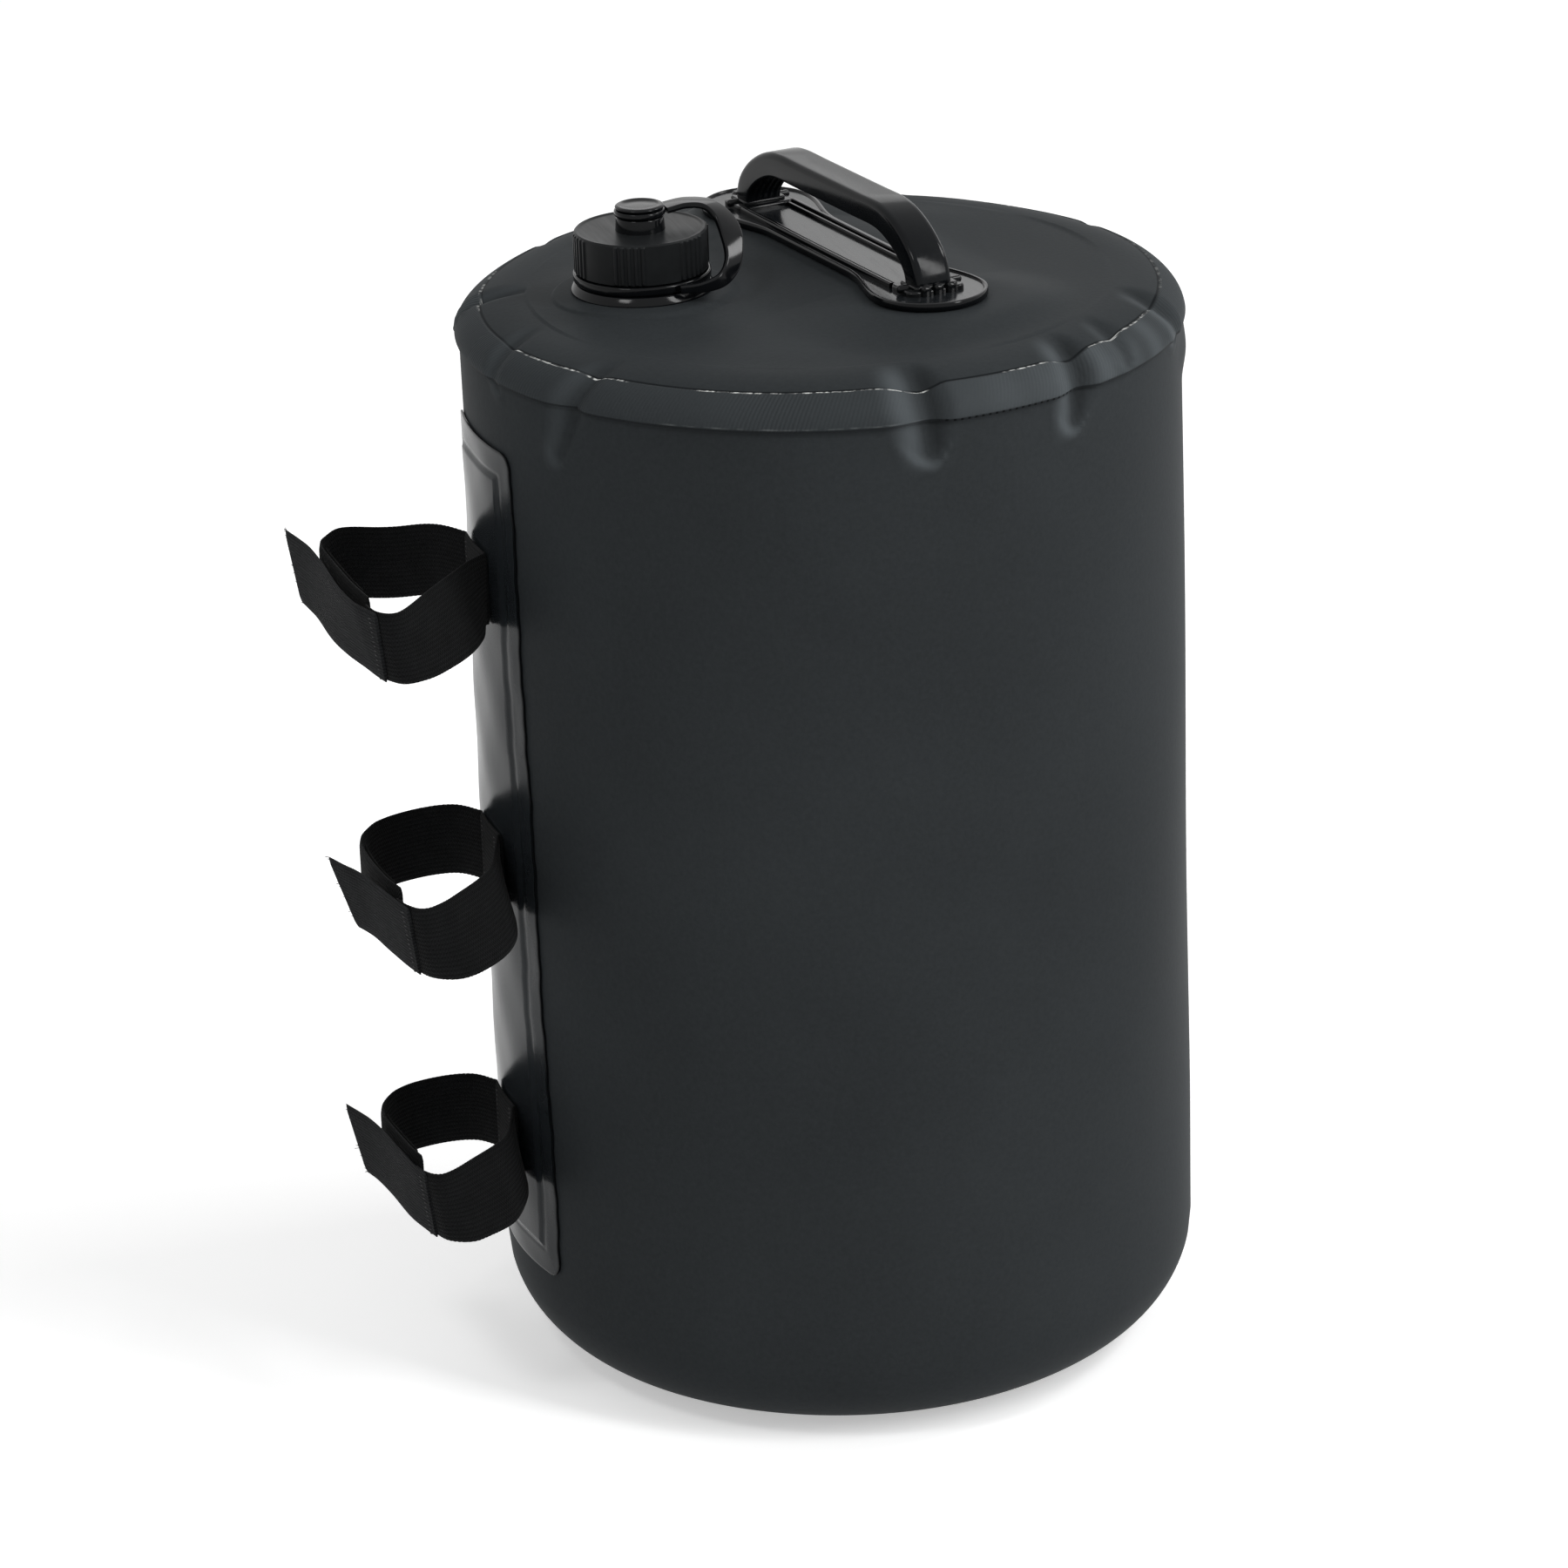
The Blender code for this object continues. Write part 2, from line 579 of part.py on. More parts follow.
def make_strap(name, height, shape, webbing_finish, hook_finish, loop_finish):
    """One strap: sewn root, near arm with the hook tape, and far arm with the loop tape it closes on."""
    depth, near, far, curl = (shape[key] for key in ("depth", "near", "far", "curl"))
    half_turn = root_length / 2 / root_radius
    sweep = np.linspace(half_turn, -half_turn, 9)
    root = np.column_stack([-root_radius * np.cos(sweep), root_radius * np.sin(sweep)])
    finish_object(f"{name}_strap_root", upright_band(root, height, webbing), webbing_finish)

    def closing_line(across):
        share = np.minimum(0, across + 0.2 * near) / (0.58 * near)
        return depth * (1 - 0.06 * share**2)

    # The near arm starts at its fold, rounds the loop's nose and ends at the seam of the hook tape.
    end_along = np.array([-math.sin(half_turn), -math.cos(half_turn)])
    end_out = np.array([-math.cos(half_turn), math.sin(-half_turn)])
    near_axis = root[-1] + end_out * webbing / 2
    start_along = turn_left(end_along, -near_fold)
    start_out = turn_left(end_out, -near_fold)
    start = near_axis + start_along * gap - start_out * webbing / 2
    seam_across = -0.78 * near
    corners = to_world([
        (0.17 * depth, -0.60 * near),
        (0.40 * depth, -0.84 * near),
        (0.62 * depth, -0.995 * near),
        (0.75 * depth, -1.0 * near),
        (0.90 * depth, -0.87 * near),
        (closing_line(seam_across), seam_across),
    ])
    near_pivot = make_pivot(f"{name}_near_fold", (*near_axis, height))
    route = smooth_path(np.vstack([start, start + start_along * 0.004, corners]), 0.004)
    arm = upright_band(route, 0, webbing, near_axis)
    finish_object(f"{name}_near_arm", arm, webbing_finish, near_pivot.location, parent=near_pivot)

    # The hook tape runs on from the seam to the free tip, outside the far arm.
    seam_point = route[-1]
    seam_along = tangents(route)[-1]
    seam_out = turn_left(seam_along, math.pi / 2)
    tab_axis = seam_point + seam_out * webbing / 2 + seam_along * gap / 2
    first = tab_axis + seam_along * gap / 2 - seam_out * hook_thickness / 2
    across = np.linspace(seam_across, shape["tip"], 9)[1:]
    progress = np.clip((across - seam_across) / (shape["tip"] - seam_across), 0, 1)
    lift = shape["flare"] * np.clip((progress - 0.5) / 0.5, 0, 1) ** 2
    tail = np.vstack([first, to_world(np.column_stack([closing_line(across) + lift, across]))])
    tail = smooth_path(tail, 0.004)
    tab_pivot = make_pivot(f"{name}_tab_seam", (*tab_axis, height))
    tape = upright_band(tail, 0, hook_thickness, tab_axis)
    finish_object(f"{name}_hook_tape", tape, hook_finish, tab_pivot.location, parent=tab_pivot)

    # The far arm leaves the root at the other fold, curls round and lies inside the hook tape.
    far_along = np.array([-math.sin(half_turn), math.cos(half_turn)])
    far_out = np.array([-math.cos(half_turn), math.sin(half_turn)])
    far_axis = root[0] + far_out * webbing / 2
    start_along = turn_left(far_along, far_fold)
    start_out = turn_left(far_out, far_fold)
    start = far_axis + start_along * gap - start_out * webbing / 2
    run_start = far - curl
    run_end = seam_across + closed_gap_from_seam
    run = np.linspace(run_start, run_end, 8)
    line = to_world(np.column_stack([closing_line(run), run]))
    tape_run = offset_left(line, hook_thickness / 2 + gap + loop_thickness / 2)
    arm_run = offset_left(line, hook_thickness / 2 + gap + loop_thickness + gap + webbing / 2)
    reach = -arm_run[0][0] - root_radius
    centre = reach - curl
    bend = [(centre + curl * math.sin(a), run_start + curl * math.cos(a)) for a in np.radians([0, 30, 60])]
    rise = far - root_length / 2
    lead_in = [
        (0.22 * centre, root_length / 2 + 0.60 * rise),
        (0.60 * centre, root_length / 2 + 0.92 * rise),
    ]
    route = np.vstack([start, start + start_along * 0.003, to_world(lead_in), to_world(bend), arm_run])
    far_pivot = make_pivot(f"{name}_far_fold", (*far_axis, height))
    arm = upright_band(smooth_path(route, 0.004), 0, webbing, far_axis)
    finish_object(f"{name}_far_arm", arm, webbing_finish, far_pivot.location, parent=far_pivot)
    pile = upright_band(smooth_path(tape_run, 0.004), 0, loop_thickness, far_axis)
    finish_object(f"{name}_loop_tape", pile, loop_finish, far_pivot.location, parent=far_pivot)
    print(f"{name}: near fold {near_axis}, far fold {far_axis}, seam {tab_axis}, height {height:.4f}")


def main():
    clear_scene()
    bag_finish = make_material("bag_sheet", (0.030, 0.034, 0.038), 0.48)
    panel_finish = make_material("panel_sheet", (0.035, 0.038, 0.042), 0.30)
    gloss = make_material("gloss_moulding", (0.008, 0.008, 0.009), 0.12)
    satin = make_material("satin_cap", (0.012, 0.012, 0.013), 0.38)
    seal_finish = make_material("soft_seal", (0.030, 0.030, 0.030), 0.60)
    webbing_finish = make_material("black_webbing", (0.006, 0.006, 0.006), 0.85)
    hook_finish = make_material("hook_tape", (0.020, 0.020, 0.021), 0.70)
    loop_finish = make_material("loop_pile", (0.010, 0.010, 0.010), 0.95)

    make_bag(bag_finish)
    make_strap_panel(panel_finish)
    make_neck(gloss)
    eye_body = make_pivot("cap_lift_axis", (neck_x, neck_y, cap_bottom))
    cap_body = make_pivot("cap_turn_axis", (neck_x, neck_y, cap_bottom))
    make_cap(satin, seal_finish, cap_body)
    make_tether(gloss, eye_body)
    make_handle(gloss, gloss)
    for order, (name, shape) in enumerate(strap_loops.items()):
        height = middle_strap_height + (1 - order) * strap_spacing
        make_strap(name, height, shape, webbing_finish, hook_finish, loop_finish)


main()
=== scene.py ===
import math

import bpy
import bmesh
import numpy as np
from mathutils import Matrix, Vector


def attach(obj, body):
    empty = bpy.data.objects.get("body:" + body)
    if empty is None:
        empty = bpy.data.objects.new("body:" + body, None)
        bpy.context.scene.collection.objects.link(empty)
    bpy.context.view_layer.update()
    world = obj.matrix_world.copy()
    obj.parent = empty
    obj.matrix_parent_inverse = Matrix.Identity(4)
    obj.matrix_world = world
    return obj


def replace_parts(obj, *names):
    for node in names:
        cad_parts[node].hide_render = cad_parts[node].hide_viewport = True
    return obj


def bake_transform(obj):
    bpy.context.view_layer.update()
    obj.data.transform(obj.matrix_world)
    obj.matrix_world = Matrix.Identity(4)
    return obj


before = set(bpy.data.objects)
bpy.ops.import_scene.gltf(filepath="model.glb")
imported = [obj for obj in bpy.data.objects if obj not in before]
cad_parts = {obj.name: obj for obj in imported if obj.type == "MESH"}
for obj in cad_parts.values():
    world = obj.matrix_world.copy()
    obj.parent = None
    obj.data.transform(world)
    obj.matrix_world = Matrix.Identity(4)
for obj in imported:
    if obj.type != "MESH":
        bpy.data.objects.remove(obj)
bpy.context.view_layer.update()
scene = bpy.context.scene
rng = np.random.default_rng(41)


# Every pair of the two lists, as a grid of (first, second).
def pairs(first, second):
    return np.stack(np.meshgrid(first, second, indexing="ij"), -1)


# Points at a radius and angle round a centre: (x + radius * cos, y + radius * sin, height).
def polar(radius, angle, height, centre=(0, 0)):
    x, y = centre[0] + radius * np.cos(angle), centre[1] + radius * np.sin(angle)
    return np.stack(np.broadcast_arrays(x, y, height), -1)


# The length walked along a path when each of its points is reached.
def walked(path):
    return np.concatenate([[0], np.cumsum(np.linalg.norm(np.diff(path, axis=0), axis=1))])


# The sum of the distances between neighbouring points.
def lengthOf(path):
    return float(np.linalg.norm(np.diff(path, axis=0), axis=1).sum())


# Each column of a table, which is known at the lengths of run, read at other lengths.
def readAt(at, run, table):
    return np.stack([np.interp(at, run, column) for column in table.T], -1)


# The path read again at so many equal steps of its length.
def evenSteps(path, count):
    run = walked(path)
    return readAt(np.linspace(0, run[-1], count), run, path)


# Each vector divided by its length.
def unit(vectors):
    return vectors / np.linalg.norm(vectors, axis=-1, keepdims=True)


# 3t^2 - 2t^3 between low and high.
def smoothStep(x, low, high):
    t = np.clip((x - low) / (high - low), 0, 1)
    return t * t * (3 - 2 * t)


# The same curve falling from 1 at low to 0 at high.
def fade(x, low, high):
    return 1 - smoothStep(x, low, high)


# e to the minus square of how many widths x is away from the middle.
def bell(x, middle, width):
    return np.exp(-(((x - middle) / width) ** 2))


# A new object in the scene that shows this mesh, light or camera.
def addObject(name, data):
    added = bpy.data.objects.new(name, data)
    scene.collection.objects.link(added)
    return added


# Faces are turned outwards and shaded smooth up to the sharp angle, and the piece gets its material and its
# body.
def finishPiece(name, points, faces, finish, body, sharp, corners=None):
    material, slot = finish
    mesh = bpy.data.meshes.new(name)
    mesh.from_pydata(points.reshape(-1, 3).tolist(), [], faces)
    if corners is not None:
        mesh.uv_layers.new(name="UVMap").data.foreach_set("uv", corners.ravel())
    shell = bmesh.new()
    shell.from_mesh(mesh)
    bmesh.ops.recalc_face_normals(shell, faces=shell.faces)
    shell.to_mesh(mesh)
    shell.free()
    mesh.shade_smooth()
    mesh.set_sharp_from_angle(angle=math.radians(sharp))
    piece = addObject(name, mesh)
    mesh.materials.append(material)
    if body:
        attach(piece, body)
    return piece


# A closed body from rings of points: ring i holds row i, each row closes on itself, and the rows may too.
def gridBody(name, points, uv, finish, body=None, closeAlong=False, sharp=35):
    n, m = points.shape[:2]
    i, j = pairs(np.arange(n - 1 + closeAlong), np.arange(m)).reshape(-1, 2).T
    here, ahead, beside = i * m, (i + 1) % n * m, (j + 1) % m
    faces = np.stack([here + j, ahead + j, ahead + beside, here + beside], 1).tolist()
    corners = np.stack([uv[i, j], uv[i + 1, j], uv[i + 1, j + 1], uv[i, j + 1]], 1).reshape(-1, 2)
    if not closeAlong:
        faces += [list(range(m - 1, -1, -1)), list(range((n - 1) * m, n * m))]
        corners = np.vstack([corners, uv[0, :m][::-1], uv[n - 1, :m]])
    return finishPiece(name, points, faces, finish, body, sharp, corners)


# Several closed bodies become one mesh, which keeps the first one's material.
def joinPieces(name, parts, body):
    keep = parts[0]
    chosen = {"selected_editable_objects": parts, "selected_objects": parts}
    with bpy.context.temp_override(active_object=keep, object=keep, **chosen):
        bpy.ops.object.join()
    keep.name = name
    keep.data.name = name
    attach(keep, body)
    return keep


# Each corner of an outline becomes the curve (1-t)^2 a + 2t(1-t) corner + t^2 b, cut back by its radius.
def roundCorners(points, radius, steps=4, closed=True):
    points = np.asarray(points, float)
    radius = np.broadcast_to(radius, len(points))
    out = []
    for k, point in enumerate(points):
        if not closed and k in (0, len(points) - 1):
            out.append(point[None])
            continue
        before, after = points[k - 1] - point, points[(k + 1) % len(points)] - point
        a = point + before * min(0.49, radius[k] / np.linalg.norm(before))
        b = point + after * min(0.49, radius[k] / np.linalg.norm(after))
        t = np.linspace(0, 1, steps + 1)[:, None]
        out.append((1 - t) ** 2 * a + 2 * t * (1 - t) * point + t**2 * b)
    return np.vstack(out)


# A Catmull-Rom curve through the points, read again at equal steps of its length.
def curveThrough(points, spacing):
    knots = np.asarray(points, float)
    knots = np.vstack([2 * knots[0] - knots[1], knots, 2 * knots[-1] - knots[-2]])
    t = np.linspace(0, 1, 32, endpoint=False)[:, None]
    runs = []
    for a, b, c, d in zip(knots, knots[1:], knots[2:], knots[3:]):
        square, cube = 2 * a - 5 * b + 4 * c - d, 3 * b - a - 3 * c + d
        runs.append(0.5 * (2 * b + (c - a) * t + square * t**2 + cube * t**3))
    fine = np.vstack(runs + [knots[-2:-1]])
    return evenSteps(fine, max(2, round(lengthOf(fine) / spacing) + 1))


# A section of (across, out) points along a path: point = path + across * side + out * (along x side).
def sweep(name, path, side, section, finish, body=None, sharp=35):
    along = unit(np.gradient(path, axis=0))
    side = np.broadcast_to(side, path.shape)
    side = unit(side - (side * along).sum(1, keepdims=True) * along)
    out = np.cross(along, side)
    section = np.broadcast_to(section, (len(path), *np.shape(section)[-2:]))
    points = path[:, None] + section[..., :1] * side[:, None] + section[..., 1:] * out[:, None]
    around = walked(np.vstack([section[0], section[0][:1]]))
    return gridBody(name, points, pairs(walked(path), around), finish, body, sharp=sharp)


# A profile of (radius, height) points is turned about a vertical axis.
def turned(name, profile, centre, count, finish, body=None, closed=False, radial=None, sharp=35):
    profile = np.asarray(profile, float)
    angle = np.linspace(0, math.tau, count, endpoint=False)
    radius = np.repeat(profile[:, :1], count, 1)
    if radial is not None:
        radius = radius + radial(angle[None], profile[:, 1:])
    points = polar(radius, angle, profile[:, 1:], centre)
    run = walked(profile)
    if closed:
        run = np.append(run, run[-1] + np.linalg.norm(profile[-1] - profile[0]))
    uv = pairs(run, np.linspace(0, math.tau * profile[:, 0].max(), count + 1))
    return gridBody(name, points, uv, finish, body, closeAlong=closed, sharp=sharp)


# One output of a node. Sums, differences and products with it add further nodes.
class Wire:
    def __init__(self, node, output=0):
        self.tree = node.id_data
        self.socket = node.outputs[output]

    def __add__(self, other):
        return calc("ADD", self, other)

    def __sub__(self, other):
        return calc("SUBTRACT", self, other)

    def __mul__(self, other):
        return calc("MULTIPLY", self, other)


# A material with one shader node that feeds the surface output.
def startMaterial(name):
    material = bpy.data.materials.new(name)
    material.use_nodes = True
    tree = material.node_tree
    tree.nodes.clear()
    shader = tree.nodes.new("ShaderNodeBsdfPrincipled")
    tree.links.new(shader.outputs[0], tree.nodes.new("ShaderNodeOutputMaterial").inputs[0])
    return material, tree, shader


# Sets each named input of a node to a wire, a number or a colour.
def setInputs(node, **values):
    for name, value in values.items():
        connect(value, node.inputs[name.replace("_", " ")])


# A wire is linked to the socket, a colour gets its fourth value 1, and a number is set as it is.
def connect(source, socket):
    if isinstance(source, Wire):
        source.tree.links.new(source.socket, socket)
    elif hasattr(source, "__len__") and len(source) == 3 and len(socket.default_value) == 4:
        socket.default_value = (*source, 1)
    else:
        socket.default_value = source


# One math node: the operation on its values, as wires or numbers.
def calc(operation, *values):
    node = values[0].tree.nodes.new("ShaderNodeMath")
    node.operation = operation
    for socket, value in zip(node.inputs, values):
        connect(value, socket)
    return Wire(node)


# The value's stretch from low to high is mapped to toLow and toHigh, evenly or smoothly, and held there.
def spread(value, low, high, toLow=0.0, toHigh=1.0, smooth=False):
    node = value.tree.nodes.new("ShaderNodeMapRange")
    node.interpolation_type = "SMOOTHSTEP" if smooth else "LINEAR"
    for socket, item in zip(node.inputs, (value, low, high, toLow, toHigh)):
        connect(item, socket)
    return Wire(node)


# Noise of about 0 to 1 with so many features per unit, its place stretched first if asked.
def noise(vector, scale, detail=2.0, roughness=0.5, stretch=None):
    nodes = vector.tree.nodes
    if stretch:
        node = nodes.new("ShaderNodeMapping")
        setInputs(node, Vector=vector, Scale=stretch)
        vector = Wire(node)
    node = nodes.new("ShaderNodeTexNoise")
    setInputs(node, Vector=vector, Scale=scale, Detail=detail, Roughness=roughness)
    return Wire(node)


# Colour a where the factor is 0 and colour b where it is 1.
def blendColour(factor, a, b):
    node = factor.tree.nodes.new("ShaderNodeMix")
    node.data_type = "RGBA"
    connect(factor, node.inputs["Factor"])
    for socket, value in zip([s for s in node.inputs if s.type == "RGBA"], (a, b)):
        connect(value, socket)
    return Wire(node, next(k for k, s in enumerate(node.outputs) if s.type == "RGBA"))


# The normal tilted by the slope of height times distance, as far as the strength says.
def bump(height, distance, strength):
    node = height.tree.nodes.new("ShaderNodeBump")
    setInputs(node, Strength=strength, Distance=distance, Height=height)
    return Wire(node)


# A point's own x, y and z on the object.
def objectPlace(tree):
    return Wire(tree.nodes.new("ShaderNodeTexCoord"), "Object")


# The piece's own surface lengths, together and one by one.
def surfacePlace(tree):
    node = tree.nodes.new("ShaderNodeUVMap")
    node.uv_map = "UVMap"
    split = tree.nodes.new("ShaderNodeSeparateXYZ")
    tree.links.new(node.outputs[0], split.inputs[0])
    return Wire(node), Wire(split, 0), Wire(split, 1)


# 1 within half a width of a value, falling to 0 over the soft distance.
def lineMask(value, at, half, soft):
    return spread(calc("ABSOLUTE", value - at), half, half + soft, 1.0, 0.0, smooth=True)


# Each of the three values times the factor.
def scaled(colour, factor):
    return [value * factor for value in colour]


bag = dict(
    radius=0.1199, height=0.371, flatRadius=0.096, shoulderWide=0.0239, shoulderDrop=0.013,
    baseFillet=0.035, baseFlat=0.0849, hem=0.060,
    wallEnd=0.0125,  # the side wall ends this much before the hem's inner edge
    wallTop=0.330,  # below this height the side wall needs fewer rows
    sheet=0.0007,
    layer=0.001,  # one sheet and the clearance under it
    seamRadius=0.112, skirt=0.3575, columns=384, outlineSteps=6001,
    calmFrom=0.078,  # the top's waves and hill calm down from here to the flat's edge
    bendRuns=(0.36, 0.32),  # where the rows get closer for the base's bend, outside and inside
)


# The bag's outline from the side: (radius, height) at each length from the flat top's edge, outwards and
# down.
def bagOutline():
    flat, wide, drop = bag["flatRadius"], bag["shoulderWide"], bag["shoulderDrop"]
    fillet = bag["baseFillet"]
    level = np.stack([np.linspace(0, flat, 60), np.full(60, bag["height"])], 1)
    down = np.linspace(math.pi / 2, 0, 200)[1:]
    shoulder = np.stack([flat + wide * np.cos(down), bag["height"] - drop + drop * np.sin(down)], 1)
    turn = np.linspace(0, math.pi / 2, 120)
    base = np.stack([bag["baseFlat"] + fillet * np.cos(turn), fillet * (1 - np.sin(turn))], 1)
    side = np.vstack([level, shoulder, base, [[bag["hem"], 0.0]]])
    dense = evenSteps(side, bag["outlineSteps"])
    run = np.linspace(0, lengthOf(side), bag["outlineSteps"]) - flat
    along = unit(np.gradient(dense, axis=0))
    return run, dense, np.stack([-along[:, 1], along[:, 0]], 1)


outlineRun, outlineAt, outlineOut = bagOutline()
widest = np.argmax(outlineAt[:, 0])
seamRun = float(np.interp(bag["seamRadius"], outlineAt[:widest, 0], outlineRun[:widest]))
skirtRun, wallRun = (float(outlineRun[np.argmax((outlineRun > 0) & (outlineAt[:, 1] <= height))])
                     for height in (bag["skirt"], bag["wallTop"]))

# Dents of the filled bag's shoulder: angle round the bag, length from the flat top's edge, half sizes,
# depth, how far they lean, and how sharp their crease is. A negative depth is a swelling.
dentNames = ("angle", "run", "wide", "long", "deep", "lean", "crease")
dents = [dict(zip(dentNames, row)) for row in (
    (-92.8, 0.0240, 0.0130, 0.0245, 0.0044, 0.04, 0.10),
    (-64.5, 0.0240, 0.0116, 0.0235, 0.0044, -0.26, 0.10),
    (-52.0, 0.0170, 0.0080, 0.0150, 0.0020, -0.30, 0.25),
    (-33.0, 0.0190, 0.0110, 0.0170, 0.0028, -0.20, 0.20),
    (-19.0, 0.0430, 0.0220, 0.0150, -0.0016, 0.0, 0.0),
    (-150.5, 0.0300, 0.0105, 0.0250, 0.0038, -0.36, 0.55),
    (-171.0, 0.0200, 0.0080, 0.0180, 0.0020, 0.2, 0.30),
    (162.0, 0.0140, 0.0085, 0.0180, 0.0032, -0.1, 0.40),
    (128.0, 0.0320, 0.0090, 0.0220, 0.0026, 0.1, 0.30),
    (92.0, 0.0340, 0.0085, 0.0240, 0.0030, 0.0, 0.30),
    (55.0, 0.0330, 0.0095, 0.0240, 0.0028, 0.1, 0.25),
    (16.0, 0.0330, 0.0090, 0.0220, 0.0026, -0.1, 0.25),
)]
dentShape = dict(
    shift=0.25, leftWide=1.25, rightWide=0.75, narrowing=0.5, below=1.25, above=0.95, creaseFall=4.0,
    lipAt=1.08, lipWidth=60**-0.5, lipHigh=0.16,
    topFade=(-0.014, 0.004),  # lengths between which dents and waves fade towards the flat top
    baseFade=(0.30, 0.36),
)
# Painted light and shade of the dents: a painted highlight on the lit flank and lip, painted shade on the
# floor.
foldShadeMarks = dict(
    deepest=0.0044, flank=(-0.50, 0.34), floor=(0.22, 0.36), lip=(1.0, 90**-0.5), lipShare=0.85,
    floorShare=0.9,
)


# The signed turn from a middle given in degrees to an angle, the short way round.
def turnFrom(angle, middle):
    return np.angle(np.exp(1j * (angle - math.radians(middle))))


# A dent's own coordinate: 0 at its deepest line, 1 at its rim. The left flank is broad and the right one
# steep, and both narrow downwards.
def dentReach(dent, angle, run):
    d = dentShape
    aside = turnFrom(angle, dent["angle"]) * bag["radius"] - dent["lean"] * (run - dent["run"])
    x = aside / dent["wide"] - d["shift"]
    y = (run - dent["run"]) / dent["long"]
    x = np.where(x < 0, x / d["leftWide"], x / d["rightWide"]) * (1 + d["narrowing"] * np.clip(y, 0, 1))
    return x, y, np.sqrt(x * x + np.where(y > 0, d["below"] * y, d["above"] * y) ** 2)


# How far the skin stands out of its plain outline: slow waves, minus each dent's valley, which falls
# gently from above and ends below in a steep round wall with a low lip on it.
def skinRise(angle, run):
    d = dentShape
    rise = 0.00035 * np.sin(3 * angle + 1.2) * np.sin(run * 21 + 0.4)
    rise = rise + 0.00022 * np.sin(7 * angle + run * 33)
    for dent in dents:
        x, y, q = dentReach(dent, angle, run)
        valley = fade(q, 0.0, 1.0)
        crease = np.exp(-np.abs(x) * d["creaseFall"]) * np.clip(1 - y * y, 0, 1)
        rise = rise - dent["deep"] * ((1 - dent["crease"]) * valley + dent["crease"] * crease)
        lip = bell(q, d["lipAt"], d["lipWidth"]) * smoothStep(y, 0.1, 0.8)
        rise = rise + d["lipHigh"] * np.maximum(dent["deep"], 0) * lip
    return rise * smoothStep(run, *d["topFade"]) * (1 - 0.85 * smoothStep(run, *d["baseFade"]))


# Stretches of the welded band that get a painted highlight of the key light's sheen: angle and half width in
# degrees, strength.
bandHighlight = [(-86.0, 4.0, 0.25), (-78.0, 5.0, 0.55), (-70.5, 3.0, 0.50), (-58.0, 3.0, 0.9)]
bandHighlight += [(-50.0, 2.2, 0.45), (-43.5, 2.6, 0.75), (-35.0, 3.4, 0.5), (-120.0, 9.0, 0.12)]
bandHighlight += [(20.0, 6.0, 0.4), (100.0, 5.0, 0.4)]


# Painted light and shade: a painted highlight on a dent's left flank, which faces the key light, and along
# its lit lower lip, painted shade right of its deepest line, and a painted highlight on the welded band's
# lit stretches.
def foldLightShade(angle, run):
    marks = foldShadeMarks
    tone = 0 * angle * run
    for dent in dents:
        x, y, q = dentReach(dent, angle, run)
        share = max(dent["deep"], 0) / marks["deepest"] * (1 - dent["crease"])
        # The flank and the lip take a painted highlight, the floor a painted shade.
        flank = bell(x, *marks["flank"]) * fade(np.abs(y), 0.45, 1.05)
        floor = bell(x, *marks["floor"]) * fade(np.abs(y), 0.45, 1.0)
        lip = bell(q, *marks["lip"]) * smoothStep(y, 0.35, 0.85)
        tone = tone + share * (flank + marks["lipShare"] * lip - marks["floorShare"] * floor)
    onBand = smoothStep(run, seamRun, seamRun + 0.0008) * fade(run, skirtRun - 0.0015, skirtRun)
    # Painted highlight on the band's lit stretches.
    for middle, half, strength in bandHighlight:
        tone = tone + strength * bell(turnFrom(angle, middle), 0, math.radians(half)) * onBand
    return tone * smoothStep(run, *dentShape["topFade"])


# The painted light and shade of each point becomes the attribute that the sheet's material reads.
def addFoldShading(piece, tone):
    marks = piece.data.attributes.new("fold", "FLOAT", "POINT")
    marks.data.foreach_set("value", tone.ravel().astype(np.float32))


# The outline's point pushed along its normal by the rise, pulled in by the inset, and turned by its angle.
def skinPoint(angle, run, inset):
    at, out = readAt(run, outlineRun, outlineAt), readAt(run, outlineRun, outlineOut)
    at = at + out * (skinRise(angle, run) - inset)[..., None]
    return polar(at[..., 0], angle, at[..., 1])


neck = dict(
    at=(-0.0587, 0.0047), hole=0.0184, flange=0.0296, hill=0.0026, hillStart=0.0215, hillReach=0.050,
    step=0.0009, crownFree=(0.024, 0.052), waveFree=(0.024, 0.034),
)

seat = dict(
    at=(0.0124, 0.0130), turn=math.radians(-80.2), rise=0.0044, lobeOut=0.0600, waist=0.0128,
    lobe=0.0192, shelf=0.0010, close=0.012, reach=0.034,
)


# How far a plan point lies outside the handle's plate: past the lobe's circle or past the waist's side.
def plateDistance(x, y):
    c, s = math.cos(seat["turn"]), math.sin(seat["turn"])
    dx, dy = x - seat["at"][0], y - seat["at"][1]
    along, across = np.abs(dx * c + dy * s) - seat["lobeOut"], -dx * s + dy * c
    lobe = np.hypot(along, across) - seat["lobe"]
    waist = np.hypot(np.clip(along, 0, None), across) - seat["waist"]
    return np.minimum(lobe, waist)


